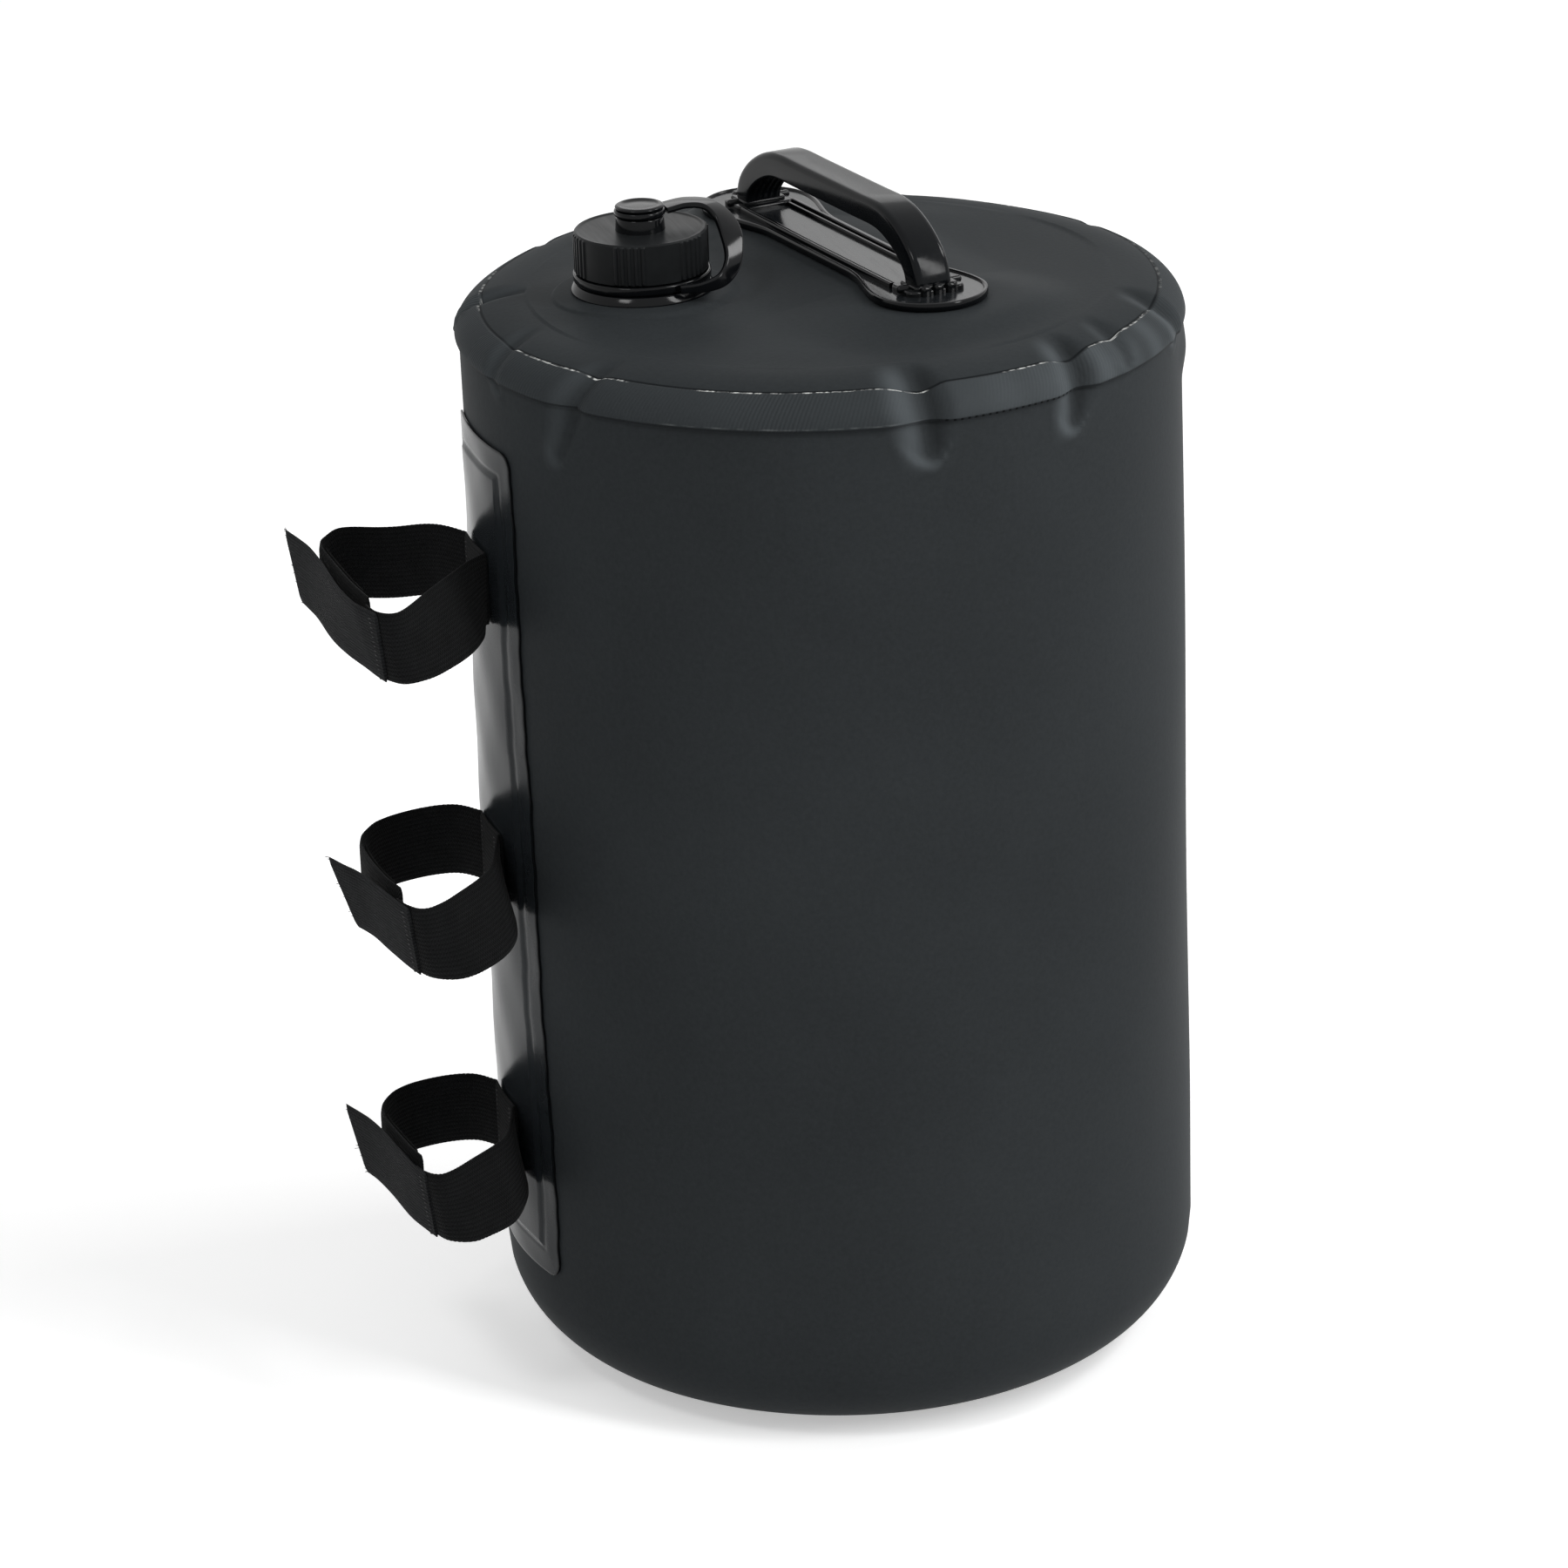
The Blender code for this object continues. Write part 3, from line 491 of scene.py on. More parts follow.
# The top sheet is level under the handle's plate and falls away round it, climbs a low hill to the neck
# with a small step over the weld flange, and waves a little elsewhere.
def topRise(x, y):
    far = np.hypot(x - neck["at"][0], y - neck["at"][1])
    out = plateDistance(x, y)
    edge = fade(np.hypot(x, y), bag["calmFrom"], bag["flatRadius"] + 0.001)
    hill = neck["hill"] * fade(far, neck["hillStart"], neck["hillReach"])
    step = neck["step"] * fade(far, neck["flange"] - 0.0004, neck["flange"] + 0.0007)
    crown = seat["rise"] * fade(out, seat["shelf"], seat["reach"]) * smoothStep(far, *neck["crownFree"])
    close = fade(out, seat["shelf"], seat["close"])
    wave = 0.0005 * np.sin(x * 52 + 1) * np.sin(y * 44 + 2) + 0.0003 * np.sin(x * 95 - y * 60)
    wave = wave * edge * (1 - close) * smoothStep(far, *neck["waveFree"])
    return (hill + step) * (0.35 + 0.65 * edge) + crown * np.maximum(edge, close) + wave


# The upper seam shows white where its cut edge is bare: (from, to, strength), in degrees round the bag.
bareSeam = [(146, 168, 0.35), (-169, -156, 0.75), (-156, -141, 1.0), (-128, -106, 0.9), (-106, -91, 0.8)]
bareSeam += [(-76, -65, 1.0), (-58, -36, 0.8), (-24, 6, 0.12), (34, 58, 0.4), (70, 118, 0.35)]
sheetLook = dict(
    cutEdge=(0.72, 0.73, 0.71), seamShade=(0.005, 0.006, 0.007), gapShade=(0.003, 0.0035, 0.004),
    # The colour is scaled up for the painted highlight and down for the painted shade of the folds and the
    # band.
    dots=(0.14, 0.15, 0.15), dark=0.86, light=1.16, band=1.55, paintedLight=2.9, paintedShade=0.4, wander=0.0018,
    bump=0.0003,
)


# Two seams round the bag: a pale broken cut edge with a shadow above it, a lighter welded band with
# pressed slanting ribs and the painted highlight and painted shade of the folds and the band, and a toothed
# shadow with a few dots at the band's lower edge.
def addSeams(base, relief, colour, uvPlace, along, down):
    look = sheetLook
    wander = noise(uvPlace, 60, 2, 0.5, (1, 0, 0)) - 0.5
    wandering = along + wander * look["wander"]
    speck = noise(uvPlace, 900, 1, 0.5, (1, 0.2, 0))
    turn = down * math.degrees(1 / bag["radius"])
    bare = turn * 0
    for first, last, strength in bareSeam:
        part = lineMask(turn, (first + last) / 2, (last - first) / 2, 1.2)
        bare = calc("MAXIMUM", bare, part * strength)
    edge = lineMask(wandering, seamRun, 0.00024, 0.00034)
    torn = noise(uvPlace, 330, 2, 0.7, (0.4, 1, 0))
    broken = spread(speck, 0.40, 0.56, 0.05, 1.0) * spread(torn, 0.42, 0.56, 0.04, 1.0)
    shade = lineMask(wandering, seamRun - 0.0006, 0.0002, 0.0004) * 0.8
    base = blendColour(shade, base, look["seamShade"])
    inBand = spread(along, seamRun, seamRun + 0.0005)
    inBand = inBand * spread(along, skirtRun - 0.0012, skirtRun, 1, 0)
    base = blendColour(inBand * 0.6, base, scaled(colour, look["band"]))
    marks = along.tree.nodes.new("ShaderNodeAttribute")
    marks.attribute_name = "fold"
    fold = Wire(marks, "Fac")
    # Painted highlight where the fold attribute is above 0, painted shade where it is below 0.
    base = blendColour(spread(fold, 0.05, 1.0, 0, 0.85), base, scaled(colour, look["paintedLight"]))
    base = blendColour(spread(fold, -0.05, -0.8, 0, 0.6), base, scaled(colour, look["paintedShade"]))
    base = blendColour(edge * bare * broken, base, look["cutEdge"])
    ribs = calc("SINE", down * 4600 + along * 1700) * inBand
    patch = noise(uvPlace, 14, 2, 0.5, (0.05, 1, 0))
    relief = relief + ribs * spread(patch, 0.42, 0.62, 0.05, 0.45)
    tooth = spread(calc("SINE", down * 2600), -0.2, 0.6)
    toothed = calc("MAXIMUM", lineMask(turn, -77, 12, 2) * tooth, 0.55)
    gap = lineMask(along, skirtRun - 0.0004, 0.00025, 0.0003)
    base = blendColour(gap * toothed, base, look["gapShade"])
    dotted = lineMask(turn, -112, 18, 4) * spread(speck, 0.42, 0.66)
    spot = lineMask(along, skirtRun - 0.0011, 0.0001, 0.0003) * dotted
    return blendColour(spot * 0.4, base, look["dots"]), relief


# The panel's margin is dark and nicked just inside its edge; along is the distance from that edge.
def addRawEdge(base, uvPlace, along):
    nicks = spread(noise(uvPlace, 75, 2, 0.7, (0, 1, 0)), 0.62, 0.66)
    nicked = nicks * lineMask(along, 0.0016, 0.0006, 0.0004)
    raw = calc("MAXIMUM", lineMask(along, 0.0, 0.0004, 0.0003), nicked)
    return blendColour(raw * 0.9, base, sheetLook["gapShade"])


# Coated sheet: its colour follows 0.5 cloud + 0.25 grain, its relief is grain plus half a slow noise.
def makeSheetMaterial(name, slot, colour, rough, grain, specular, seams):
    material, tree, shader = startMaterial(name)
    place = objectPlace(tree)
    uvPlace, along, down = surfacePlace(tree)
    cloud = noise(place, 9, 3, 0.5)
    fine = noise(place, 650, 2, 0.6)
    tone = spread(cloud * 0.5 + fine * 0.25, 0.25, 0.5)
    base = blendColour(tone, scaled(colour, sheetLook["dark"]), scaled(colour, sheetLook["light"]))
    relief = fine * grain + noise(place, 38, 3, 0.55) * 0.5
    if seams:
        base, relief = addSeams(base, relief, colour, uvPlace, along, down)
    else:
        base = addRawEdge(base, uvPlace, along)
    roughness = spread(cloud, 0.3, 0.7, rough - 0.04, rough + 0.05)
    setInputs(shader, Base_Color=base, Roughness=roughness, Specular_IOR_Level=specular)
    setInputs(shader, Normal=bump(relief, sheetLook["bump"], 0.5))
    return material, slot


# Moulded plastic: clouds tint the colour by 0.8 to 1.3, and fine streaks roughen it by the scratch.
def makePlasticMaterial(name, slot, colour, rough, scratch, specular=0.5, waves=0.35):
    material, tree, shader = startMaterial(name)
    place = objectPlace(tree)
    cloud = noise(place, 60, 3, 0.6)
    streak = noise(place, 420, 3, 0.7, (1, 0.06, 1))
    base = blendColour(spread(cloud, 0.3, 0.7), scaled(colour, 0.8), scaled(colour, 1.3))
    roughness = spread(streak, 0.35, 0.75, rough, rough + scratch)
    height = cloud * 0.4 + noise(place, 1500, 1) * 0.15
    setInputs(shader, Base_Color=base, Roughness=roughness, Specular_IOR_Level=specular)
    setInputs(shader, Normal=bump(height, 0.0002, waves))
    return material, slot


# Rows across the band and floats along it, from sines of the two surface lengths.
def makeWebMaterial(name, slot, colour, pitch, relief, rough, light):
    material, tree, shader = startMaterial(name)
    uvPlace, along, across = surfacePlace(tree)
    rows = calc("SINE", across * (math.tau / pitch))
    picks = calc("SINE", along * (math.tau / (pitch * 0.62)))
    fuzz = noise(uvPlace, 2600, 2, 0.7)
    weave = rows * 0.5 + rows * picks * 0.5
    tone = spread(weave, -1, 1, 0.0, 0.6) + fuzz * 0.4
    tone = tone * spread(noise(uvPlace, 120, 3, 0.6), 0.3, 0.7, 0.7, 1.2)
    base = blendColour(tone, scaled(colour, 0.45), scaled(colour, light))
    setInputs(shader, Base_Color=base, Roughness=rough, Specular_IOR_Level=0.05)
    setInputs(shader, Sheen_Weight=0.03, Sheen_Roughness=0.5)
    setInputs(shader, Normal=bump(weave + fuzz * 0.8, relief, 0.8))
    return material, slot


bagSheet = makeSheetMaterial("bagSheet", "bag_sheet", (0.0264, 0.0297, 0.0318), 0.52, 0.25, 0.020, True)
panelSheet = makeSheetMaterial("panelSheet", "panel_sheet", (0.0150, 0.0178, 0.02), 0.22, 0.12, 0.11, False)
moulding = "gloss_moulding"
glossBlack = makePlasticMaterial("glossBlack", moulding, (0.0030, 0.0034, 0.0040), 0.10, 0.06, 0.16, 0.12)
plateGloss = makePlasticMaterial("plateGloss", moulding, (0.0090, 0.0102, 0.0116), 0.12, 0.14, 0.20, 0.05)
satinBlack = makePlasticMaterial("satinBlack", "satin_cap", (0.0085, 0.0094, 0.0100), 0.34, 0.10, 0.09, 0.3)
gripSatin = makePlasticMaterial("gripSatin", moulding, (0.0034, 0.0041, 0.0050), 0.12, 0.08, 0.11, 0.08)
sealRubber = makePlasticMaterial("sealRubber", "soft_seal", (0.035, 0.035, 0.035), 0.60, 0.10)
webBlack = makeWebMaterial("webBlack", "webbing", (0.0044, 0.0046, 0.0048), 0.0015, 0.00026, 0.85, 2.6)
hookGrey = makeWebMaterial("hookGrey", "hook_tape", (0.0044, 0.0047, 0.0051), 0.0012, 0.00034, 0.80, 3.6)
pileBlack = makeWebMaterial("pileBlack", "loop_pile", (0.0045, 0.0045, 0.0045), 0.0005, 0.00025, 0.95, 1.6)
threadGrey = makePlasticMaterial("threadGrey", "webbing", (0.018, 0.018, 0.019), 0.55, 0.1)
print("materials made")


# A closed sheet of the skin between two lengths: outer rows one way, inner rows back, each at every angle.
def makeSideWall():
    bend, upper, low = *bag["bendRuns"], outlineRun[-1] - bag["wallEnd"]
    outer = np.concatenate([np.linspace(seamRun, wallRun, 47)[:-1], np.linspace(wallRun, bend, 41)[:-1],
                            np.linspace(bend, low, 34)])
    inner = np.concatenate([np.linspace(low, bend, 14), np.linspace(upper, wallRun, 8),
                            np.linspace(wallRun, seamRun, 22)[1:]])
    run = np.concatenate([outer, inner])
    depth = bag["layer"] + bag["sheet"] * (np.arange(len(run)) >= len(outer))
    angle = np.linspace(-math.pi, math.pi, bag["columns"], endpoint=False)
    a, s = np.moveaxis(pairs(angle, run), -1, 0)
    uv = pairs(np.append(angle, math.pi) * bag["radius"], np.append(run, run[0]))[..., ::-1]
    points = skinPoint(a, s, np.broadcast_to(depth, a.shape))
    wall = gridBody("sideWall", points, uv, bagSheet, "bag", closeAlong=True, sharp=60)
    addFoldShading(wall, foldLightShade(a, s))
    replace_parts(wall, "side_wall")
    return wall


# The welded band stands proud past the seam and thins again towards its lower edge.
def bandRise(run):
    proud = 0.00045 * smoothStep(run, seamRun - 0.0003, seamRun + 0.0004)
    return proud - 0.00030 * smoothStep(run, skirtRun - 0.0009, skirtRun)


# The flat part runs from the neck's hole to the flat's edge, as circles that shrink and move to the neck.
def makeTopPanel():
    count = bag["columns"]
    angle = np.linspace(-math.pi, math.pi, count, endpoint=False)
    ring = np.stack([np.cos(angle), np.sin(angle)], -1)
    t = np.linspace(0, 1, 74)[:, None, None] ** 1.25
    flat = (np.array(neck["at"]) + ring * neck["hole"]) * (1 - t) + ring * bag["flatRadius"] * t
    down = np.concatenate([
        np.linspace(0.0006, seamRun - 0.0012, 20),
        np.linspace(seamRun - 0.0007, seamRun + 0.0007, 6),
        np.linspace(seamRun + 0.0014, skirtRun - 0.0010, 22),
        [skirtRun - 0.0005, skirtRun - 0.0002, skirtRun],
    ])

    # The flat rows at the top's height, then the shoulder's rows on the skin, and the length of each.
    def layer(inset, flatRows, shoulderRows):
        height = bag["height"] - inset + topRise(flatRows[..., 0], flatRows[..., 1])
        a, s = np.meshgrid(angle, shoulderRows, indexing="xy")
        side = skinPoint(a, s, np.broadcast_to(inset, a.shape) - bandRise(s))
        runs = np.concatenate([np.hypot(flatRows[..., 0], flatRows[..., 1]) - bag["flatRadius"], s], 0)
        return np.concatenate([np.concatenate([flatRows, height[..., None]], -1), side], 0), runs

    outer, outerRuns = layer(0.0, flat, down)
    inner, innerRuns = layer(bag["sheet"], flat[::6], down[::4])
    points = np.concatenate([outer, inner[::-1]], 0).transpose(1, 0, 2)
    runs = np.concatenate([outerRuns, innerRuns[::-1]], 0).T
    tone = foldLightShade(angle[:, None], runs)
    runs = np.pad(runs, ((0, 1), (0, 1)), mode="wrap")
    turn = np.repeat((np.append(angle, math.pi) * bag["radius"])[:, None], runs.shape[1], 1)
    uv = np.stack([runs, turn], -1)
    panel = gridBody("topPanel", points, uv, bagSheet, "bag", closeAlong=True, sharp=50)
    addFoldShading(panel, tone)
    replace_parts(panel, "top_panel")
    return panel


# A disc with two raised weld rings, each a bell curve of the radius.
def makeBottomPanel():
    near, far, high, wide = 0.0665, 0.0755, 0.00012, 0.0006
    rings = [0.0006, 0.02, 0.04, 0.058, 0.0655, near, 0.0675, 0.0745, far, 0.0765, 0.083, 0.0843]
    rings = np.array(rings + [bag["baseFlat"]])
    under = np.stack([rings, high * (bell(rings, near, wide) + bell(rings, far, wide))], 1)
    over = np.stack([rings[::-1], np.full(len(rings), bag["sheet"])], 1)
    panel = turned("bottomPanel", np.vstack([under, over]), (0, 0), 192, bagSheet, "bag", sharp=50)
    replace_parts(panel, "bottom_panel")
    return panel


strapPanel = dict(
    half=0.030, low=0.0425, high=0.334, inner=0.1192, gap=0.00005, border=0.009, rise=0.0006,
    press=0.00022, corner=0.006, lean=0.006, thinnest=0.0002,
)


# Heights of the panel's rows above its lower edge: close together at both ends and where the border is
# pressed.
def panelRows():
    tall = strapPanel["high"] - strapPanel["low"]
    end = [0, 0.0004, 0.001, 0.002, 0.0035, 0.005]
    rows = [end, np.linspace(0.0065, 0.013, 14), np.linspace(0.016, tall - 0.016, 110)]
    rows += [np.linspace(tall - 0.013, tall - 0.0065, 14), [tall - gap for gap in end[::-1]]]
    return np.concatenate(rows) + strapPanel["low"]


# Across a row the panel is thickness above the wall: sheet, plus the raised middle, minus the pressed
# weld lines.
def makeStrapPanel():
    p = strapPanel
    low, high, c, border = p["low"], p["high"], p["corner"], p["border"]
    rows = panelRows()
    across = np.concatenate([[-1, -0.995, -0.985], np.linspace(-0.96, 0.96, 61), [0.985, 0.995, 1]])
    topGap = np.clip(c - (high - rows), 0, c)
    lowGap = np.clip(c - (rows - low), 0, c)
    cut = 2 * c - np.sqrt(c * c - topGap**2) - np.sqrt(c * c - lowGap**2)
    ragged = 0.00025 * np.sin(rows * 210) + 0.0002 * np.sin(rows * 530 + 1) + 0.0004 * np.sin(rows * 61 + 2)
    lean = p["lean"] * (high - rows) / (high - low)
    left = -(p["half"] - cut + lean + ragged)[:, None]
    right = (p["half"] - cut + 0.6 * ragged)[:, None]
    x = left + (right - left) * (across[None] + 1) / 2
    edge = np.minimum(x - left, right - x)
    edge = np.minimum(edge, np.minimum(rows - low, high - rows)[:, None])
    thick = bag["sheet"] * smoothStep(edge, -0.0006, 0.0004) ** 0.5
    thick = thick + p["rise"] * smoothStep(edge, border, border + 0.0018)
    thick = thick - p["press"] * bell(edge, border - 0.0006, 0.0005)
    wave = 0.00018 * np.sin(rows * 150)[:, None] * np.sin(x * 190 + 1)
    thick = np.maximum(thick + wave * smoothStep(edge, 0.001, 0.006), p["thinnest"])
    angle = math.pi - x / p["inner"]
    wall = skinRise(np.angle(np.exp(1j * angle)), (wallRun + bag["wallTop"] - rows)[:, None] + 0 * x)
    back = p["inner"] + p["gap"] + wall
    radius = np.concatenate([back + thick, back[:, ::-1]], 1)
    angle = np.concatenate([angle, angle[:, ::-1]], 1)
    points = polar(radius, angle, rows[:, None])
    margin = np.concatenate([edge, edge[:, ::-1], edge[:, :1]], 1)
    uv = np.stack([margin, np.repeat(rows[:, None], margin.shape[1], 1)], -1)
    panel = gridBody("strapPanel", points, uv, panelSheet, "bag", sharp=50)
    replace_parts(panel, "strap_panel")
    return panel


makeSideWall()
makeTopPanel()
makeBottomPanel()
makeStrapPanel()
print("bag sheets made")

collar = dict(
    bore=0.0154, core=0.0178, radius=0.0221, flare=0.0015, low=0.3742, top=0.3776, rim=0.3908,
    threadStart=0.3823, lead=0.005, ridge=0.0018, crest=0.0014, sunk=0.0003, bottom=0.3720,
    waist=0.3738, flangeTop=0.3727, flangeLow=0.3715,
)


# A ridge that climbs round the neck: its height follows the turn, and its crest tapers to the wall at
# both ends.
def threadRidge(name, wall, crest, start, firstTurn, turns, finish):
    count = round(turns * 96)
    turn = firstTurn + np.linspace(0, turns, count + 1)
    angle = math.tau * turn
    taper = np.clip(np.minimum(np.arange(count + 1) + 1, np.arange(count + 1)[::-1] + 1) / 10, 0, 1)
    top = wall + (crest - wall) * taper
    inner = np.full(count + 1, wall - math.copysign(collar["sunk"], crest - wall))
    radius = np.stack([inner, top * 0.4 + wall * 0.6, top, top, top * 0.4 + wall * 0.6, inner], 1)
    offset = np.array([-0.5, -0.36, -0.2, 0.2, 0.36, 0.5]) * collar["ridge"]
    height = (start + collar["lead"] * turn)[:, None] + offset
    uv = pairs(angle * wall, np.linspace(0, collar["ridge"] * 2, 7))
    return gridBody(name, polar(radius, angle[:, None], height, neck["at"]), uv, finish)


# A profile given as (radius, height, corner radius), turned about the neck's axis.
def turnedNeck(name, profile, count, finish, body=None, closed=False, sharp=40, steps=5):
    profile = np.array(profile)
    outline = roundCorners(profile[:, :2], profile[:, 2], steps, closed=closed)
    return turned(name, outline, neck["at"], count, finish, body, closed=closed, sharp=sharp)


# The collar, the tube above it and the weld flange below, as one turned profile, with the thread's ridge.
def makeNeck(bore, core, radius, flare, low, top, rim, threadStart, crest,
             bottom, waist, flangeTop, flangeLow, **rest):
    flange = neck["flange"] - 0.0003
    profile = [
        (bore, bottom, 0), (bore, rim, 0.0006), (core, rim, 0.0006), (core, top, 0.0003),
        (radius, top, 0.0009), (radius + flare, top - 0.0024, 0.0009), (radius + flare, low, 0.0005),
        (core + 0.0004, low, 0), (core + 0.0002, waist, 0.0002), (flange, flangeTop, 0.0004),
        (flange, flangeLow, 0),
    ]
    body = turnedNeck("neckTube", profile, 192, glossBlack, closed=True)
    ridge = threadRidge("neckThread", core, core + crest, threadStart, 0, 1.4, glossBlack)
    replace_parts(joinPieces("fillerNeck", [body, ridge], "bag"), "filler_neck")


cap = dict(
    radius=0.0217, inner=0.0199, low=0.3810, top=0.3946, roof=0.3924,
    axis=0.0003,  # profiles stop this far from the axis
    groups=6, ribs=5, firstRib=0.2, rib=0.00055, boss=0.0078, stem=0.0035, button=0.0081,
    shelf=0.3988, head=0.4014, crown=0.4027, sealTop=0.3921, sealLow=0.3911,
)


# Ribs stand out of the skirt as rounded squares of a cosine, in groups, and end at the top edge and lower
# lip.
def capRibs(angle, height):
    sector = math.tau / cap["groups"]
    local = np.mod(angle + cap["firstRib"], sector)
    pitch = sector / 2 / cap["ribs"]
    wave = smoothStep(np.cos(math.tau * local / pitch + math.pi), -0.35, 0.55)
    onSkirt = (height > cap["low"] + 0.0004) & (height < cap["top"] - 0.0006)
    return cap["rib"] * wave * (local < sector / 2) * onSkirt


# The mushroom button: a crowned head on a stem, on a boss that stands on the cap.
def makeButton(axis, button, crown, head, stem, shelf, boss, top, **rest):
    profile = [
        (axis, crown - 0.0008, 0), (button * 0.60, crown - 0.0008, 0.0020), (button * 0.86, crown, 0.0006),
        (button, crown - 0.0006, 0.0004), (button - 0.0002, head, 0.0003), (stem, head, 0.0005),
        (stem, shelf, 0.0004), (boss, shelf, 0.0006), (boss + 0.0004, top - 0.0009, 0),
        (axis, top - 0.0009, 0),
    ]
    return turnedNeck("capButton", profile, 128, glossBlack)


# The cap's shell from its face over the ribbed skirt to the inside, its thread, its button and its seal.
def makeCap(axis, radius, inner, low, top, roof, boss, sealTop, sealLow, **rest):
    button = makeButton(**cap)
    face = top - 0.0004
    outer = [(axis, face), (boss + 0.001, face), (radius - 0.0018, face)]
    outer += [(radius - 0.001, top), (radius, top)]
    outer = roundCorners(outer, [0, 0, 0.0006, 0.0005, 0.0009], 4, closed=False)[:-1]
    skirt = [(radius - 0.0004, top - 0.00012), (radius, top - 0.0005)]
    skirt += [(radius, height) for height in np.linspace(top - 0.0008, low + 0.0006, 8)]
    skirt += [(radius, low + 0.0002), (radius - 0.0003, low)]
    inside = [(inner + 0.0003, low), (inner, low + 0.0003), (inner, roof), (axis, roof)]
    profile = np.vstack([outer, skirt, inside])
    ribbed = np.zeros((len(profile), 1))
    ribbed[len(outer) + 1 : len(outer) + len(skirt)] = 1
    shell = turned("capShell", profile, neck["at"], 480, satinBlack,
                   radial=lambda angle, height: capRibs(angle, height) * ribbed, sharp=32)
    start = collar["threadStart"] - collar["lead"] / 2
    ridge = threadRidge("capThread", inner, collar["core"] + 0.0006, start, 0.45, 1.5, satinBlack)
    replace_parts(joinPieces("screwCap", [shell, ridge, button], "screw_cap"), "cap")
    rim = inner - 0.0003
    seal = [(axis, sealTop, 0), (rim, sealTop, 0.0003), (rim, sealLow, 0.0003), (axis, sealLow, 0)]
    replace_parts(turnedNeck("capSeal", seal, 96, sealRubber, "screw_cap", sharp=35, steps=3), "cap_seal")


tether = dict(
    ringInner=0.0181, ringOuter=0.0226, ringLow=0.3778, ringTop=0.3807, eyeInner=0.0038,
    eyeOuter=0.0084, eyeLow=0.3991, eyeTop=0.4011, width=0.0085, footWidth=0.0029, thick=0.0020,
    edge=0.0007, blend=(0.3795, 0.3985),
)

# From the eye over the cap's edge and down to the ring: (outwards, sideways, share of the drop), then the
# way the strap's width points.
tetherBends = np.array([
    (0.380, 0.015, 1.00, 0, 1, 0),
    (0.71, 0.018, 1.04, 0.25, 0.95, 0),
    (1.02, -0.086, 1.00, 0.62, 0.72, -0.08),
    (1.20, -0.288, 0.81, 0.90, 0.38, -0.15),
    (1.22, -0.577, 0.57, 0.97, 0.18, -0.18),
    (1.13, -0.878, 0.29, 0.85, 0.12, -0.45),
    (0.91, -1.09, 0.10, 0.45, 0.06, -0.85),
    (0.60, -1.12, 0.02, 0, 0, -1),
    (0.28, -1.044, 0.00, 0, 0, -1),
])


# Each bend's place is the neck's axis plus outwards and sideways times the cap's reach, at its share of
# the drop.
def tetherRoute():
    reach = cap["radius"] + 0.0005
    level, foot = (tether["eyeLow"] + tether["eyeTop"]) / 2, (tether["ringLow"] + tether["ringTop"]) / 2
    height = foot + tetherBends[:, 2] * (level - foot)
    path = curveThrough(np.column_stack([neck["at"] + tetherBends[:, :2] * reach, height]), 0.0006)
    side = curveThrough(tetherBends[:, 3:], 0.01)
    return path, readAt(np.linspace(0, len(side) - 1, len(path)), range(len(side)), side)


# A rectangle round (0, 0) with all corners rounded alike.
def roundedSection(width, thick, radius):
    x, y = width / 2, thick / 2
    return roundCorners([(-x, -y), (x, -y), (x, y), (-x, y)], radius)


# A ring of rectangular section whose four edges are rounded alike.
def flatRing(name, part, corner, count, body):
    inner, outer, low, top = (tether[part + end] for end in ("Inner", "Outer", "Low", "Top"))
    profile = [(inner, top, corner), (outer, top, corner), (outer, low, corner), (inner, low, corner)]
    return turnedNeck(name, profile, count, glossBlack, body, closed=True, sharp=35)


# The ring round the neck, the eye round the button, and the strap between them, which widens towards the
# eye.
def makeTether():
    t = tether
    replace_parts(flatRing("tetherRing", "ring", 0.0008, 160, "bag"), "tether_ring")
    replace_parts(flatRing("tetherEye", "eye", t["edge"], 96, "button_eye"), "tether_eye")
    path, side = tetherRoute()
    taper = np.clip(np.linspace(-0.75, 1.1, len(path)), 0, 1)[:, None, None]
    wide, narrow = (roundedSection(width, t["thick"], t["edge"]) for width in (t["width"], t["footWidth"]))
    strap = sweep("tetherStrap", path, side, wide * (1 - taper) + narrow * taper, glossBlack, sharp=50)
    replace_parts(strap, "tether_strap")
    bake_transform(strap)


makeNeck(**collar)
makeCap(**cap)
makeTether()
print("neck, cap and tether made")

handle = dict(
    low=0.3758, plate=0.3778, frame=0.3796, bead=0.0017, beadHigh=0.0007, halfLong=0.0665,
    halfWide=0.0105, endLong=0.0145, sunk=0.0005, rail=0.0015, railStep=0.0021, foot=0.0600,
    collar=0.0014, pin=0.0013, knobs=(-0.0046, 0.0, 0.0046), gripWide=0.0130, gripThick=0.0085,
    gripTop=0.4020, lip=0.0012, dish=0.0009, ribPitch=0.0023, ribHigh=0.00035,
)


# From the handle's own frame, length along x, to the bag's: turn by the seat's angle and shift to its
# place.
def handlePlace(points):
    points = np.asarray(points, float)
    c, s = math.cos(seat["turn"]), math.sin(seat["turn"])
    x, y = points[..., 0], points[..., 1]
    return np.stack([seat["at"][0] + x * c - y * s, seat["at"][1] + x * s + y * c, points[..., 2]], -1)


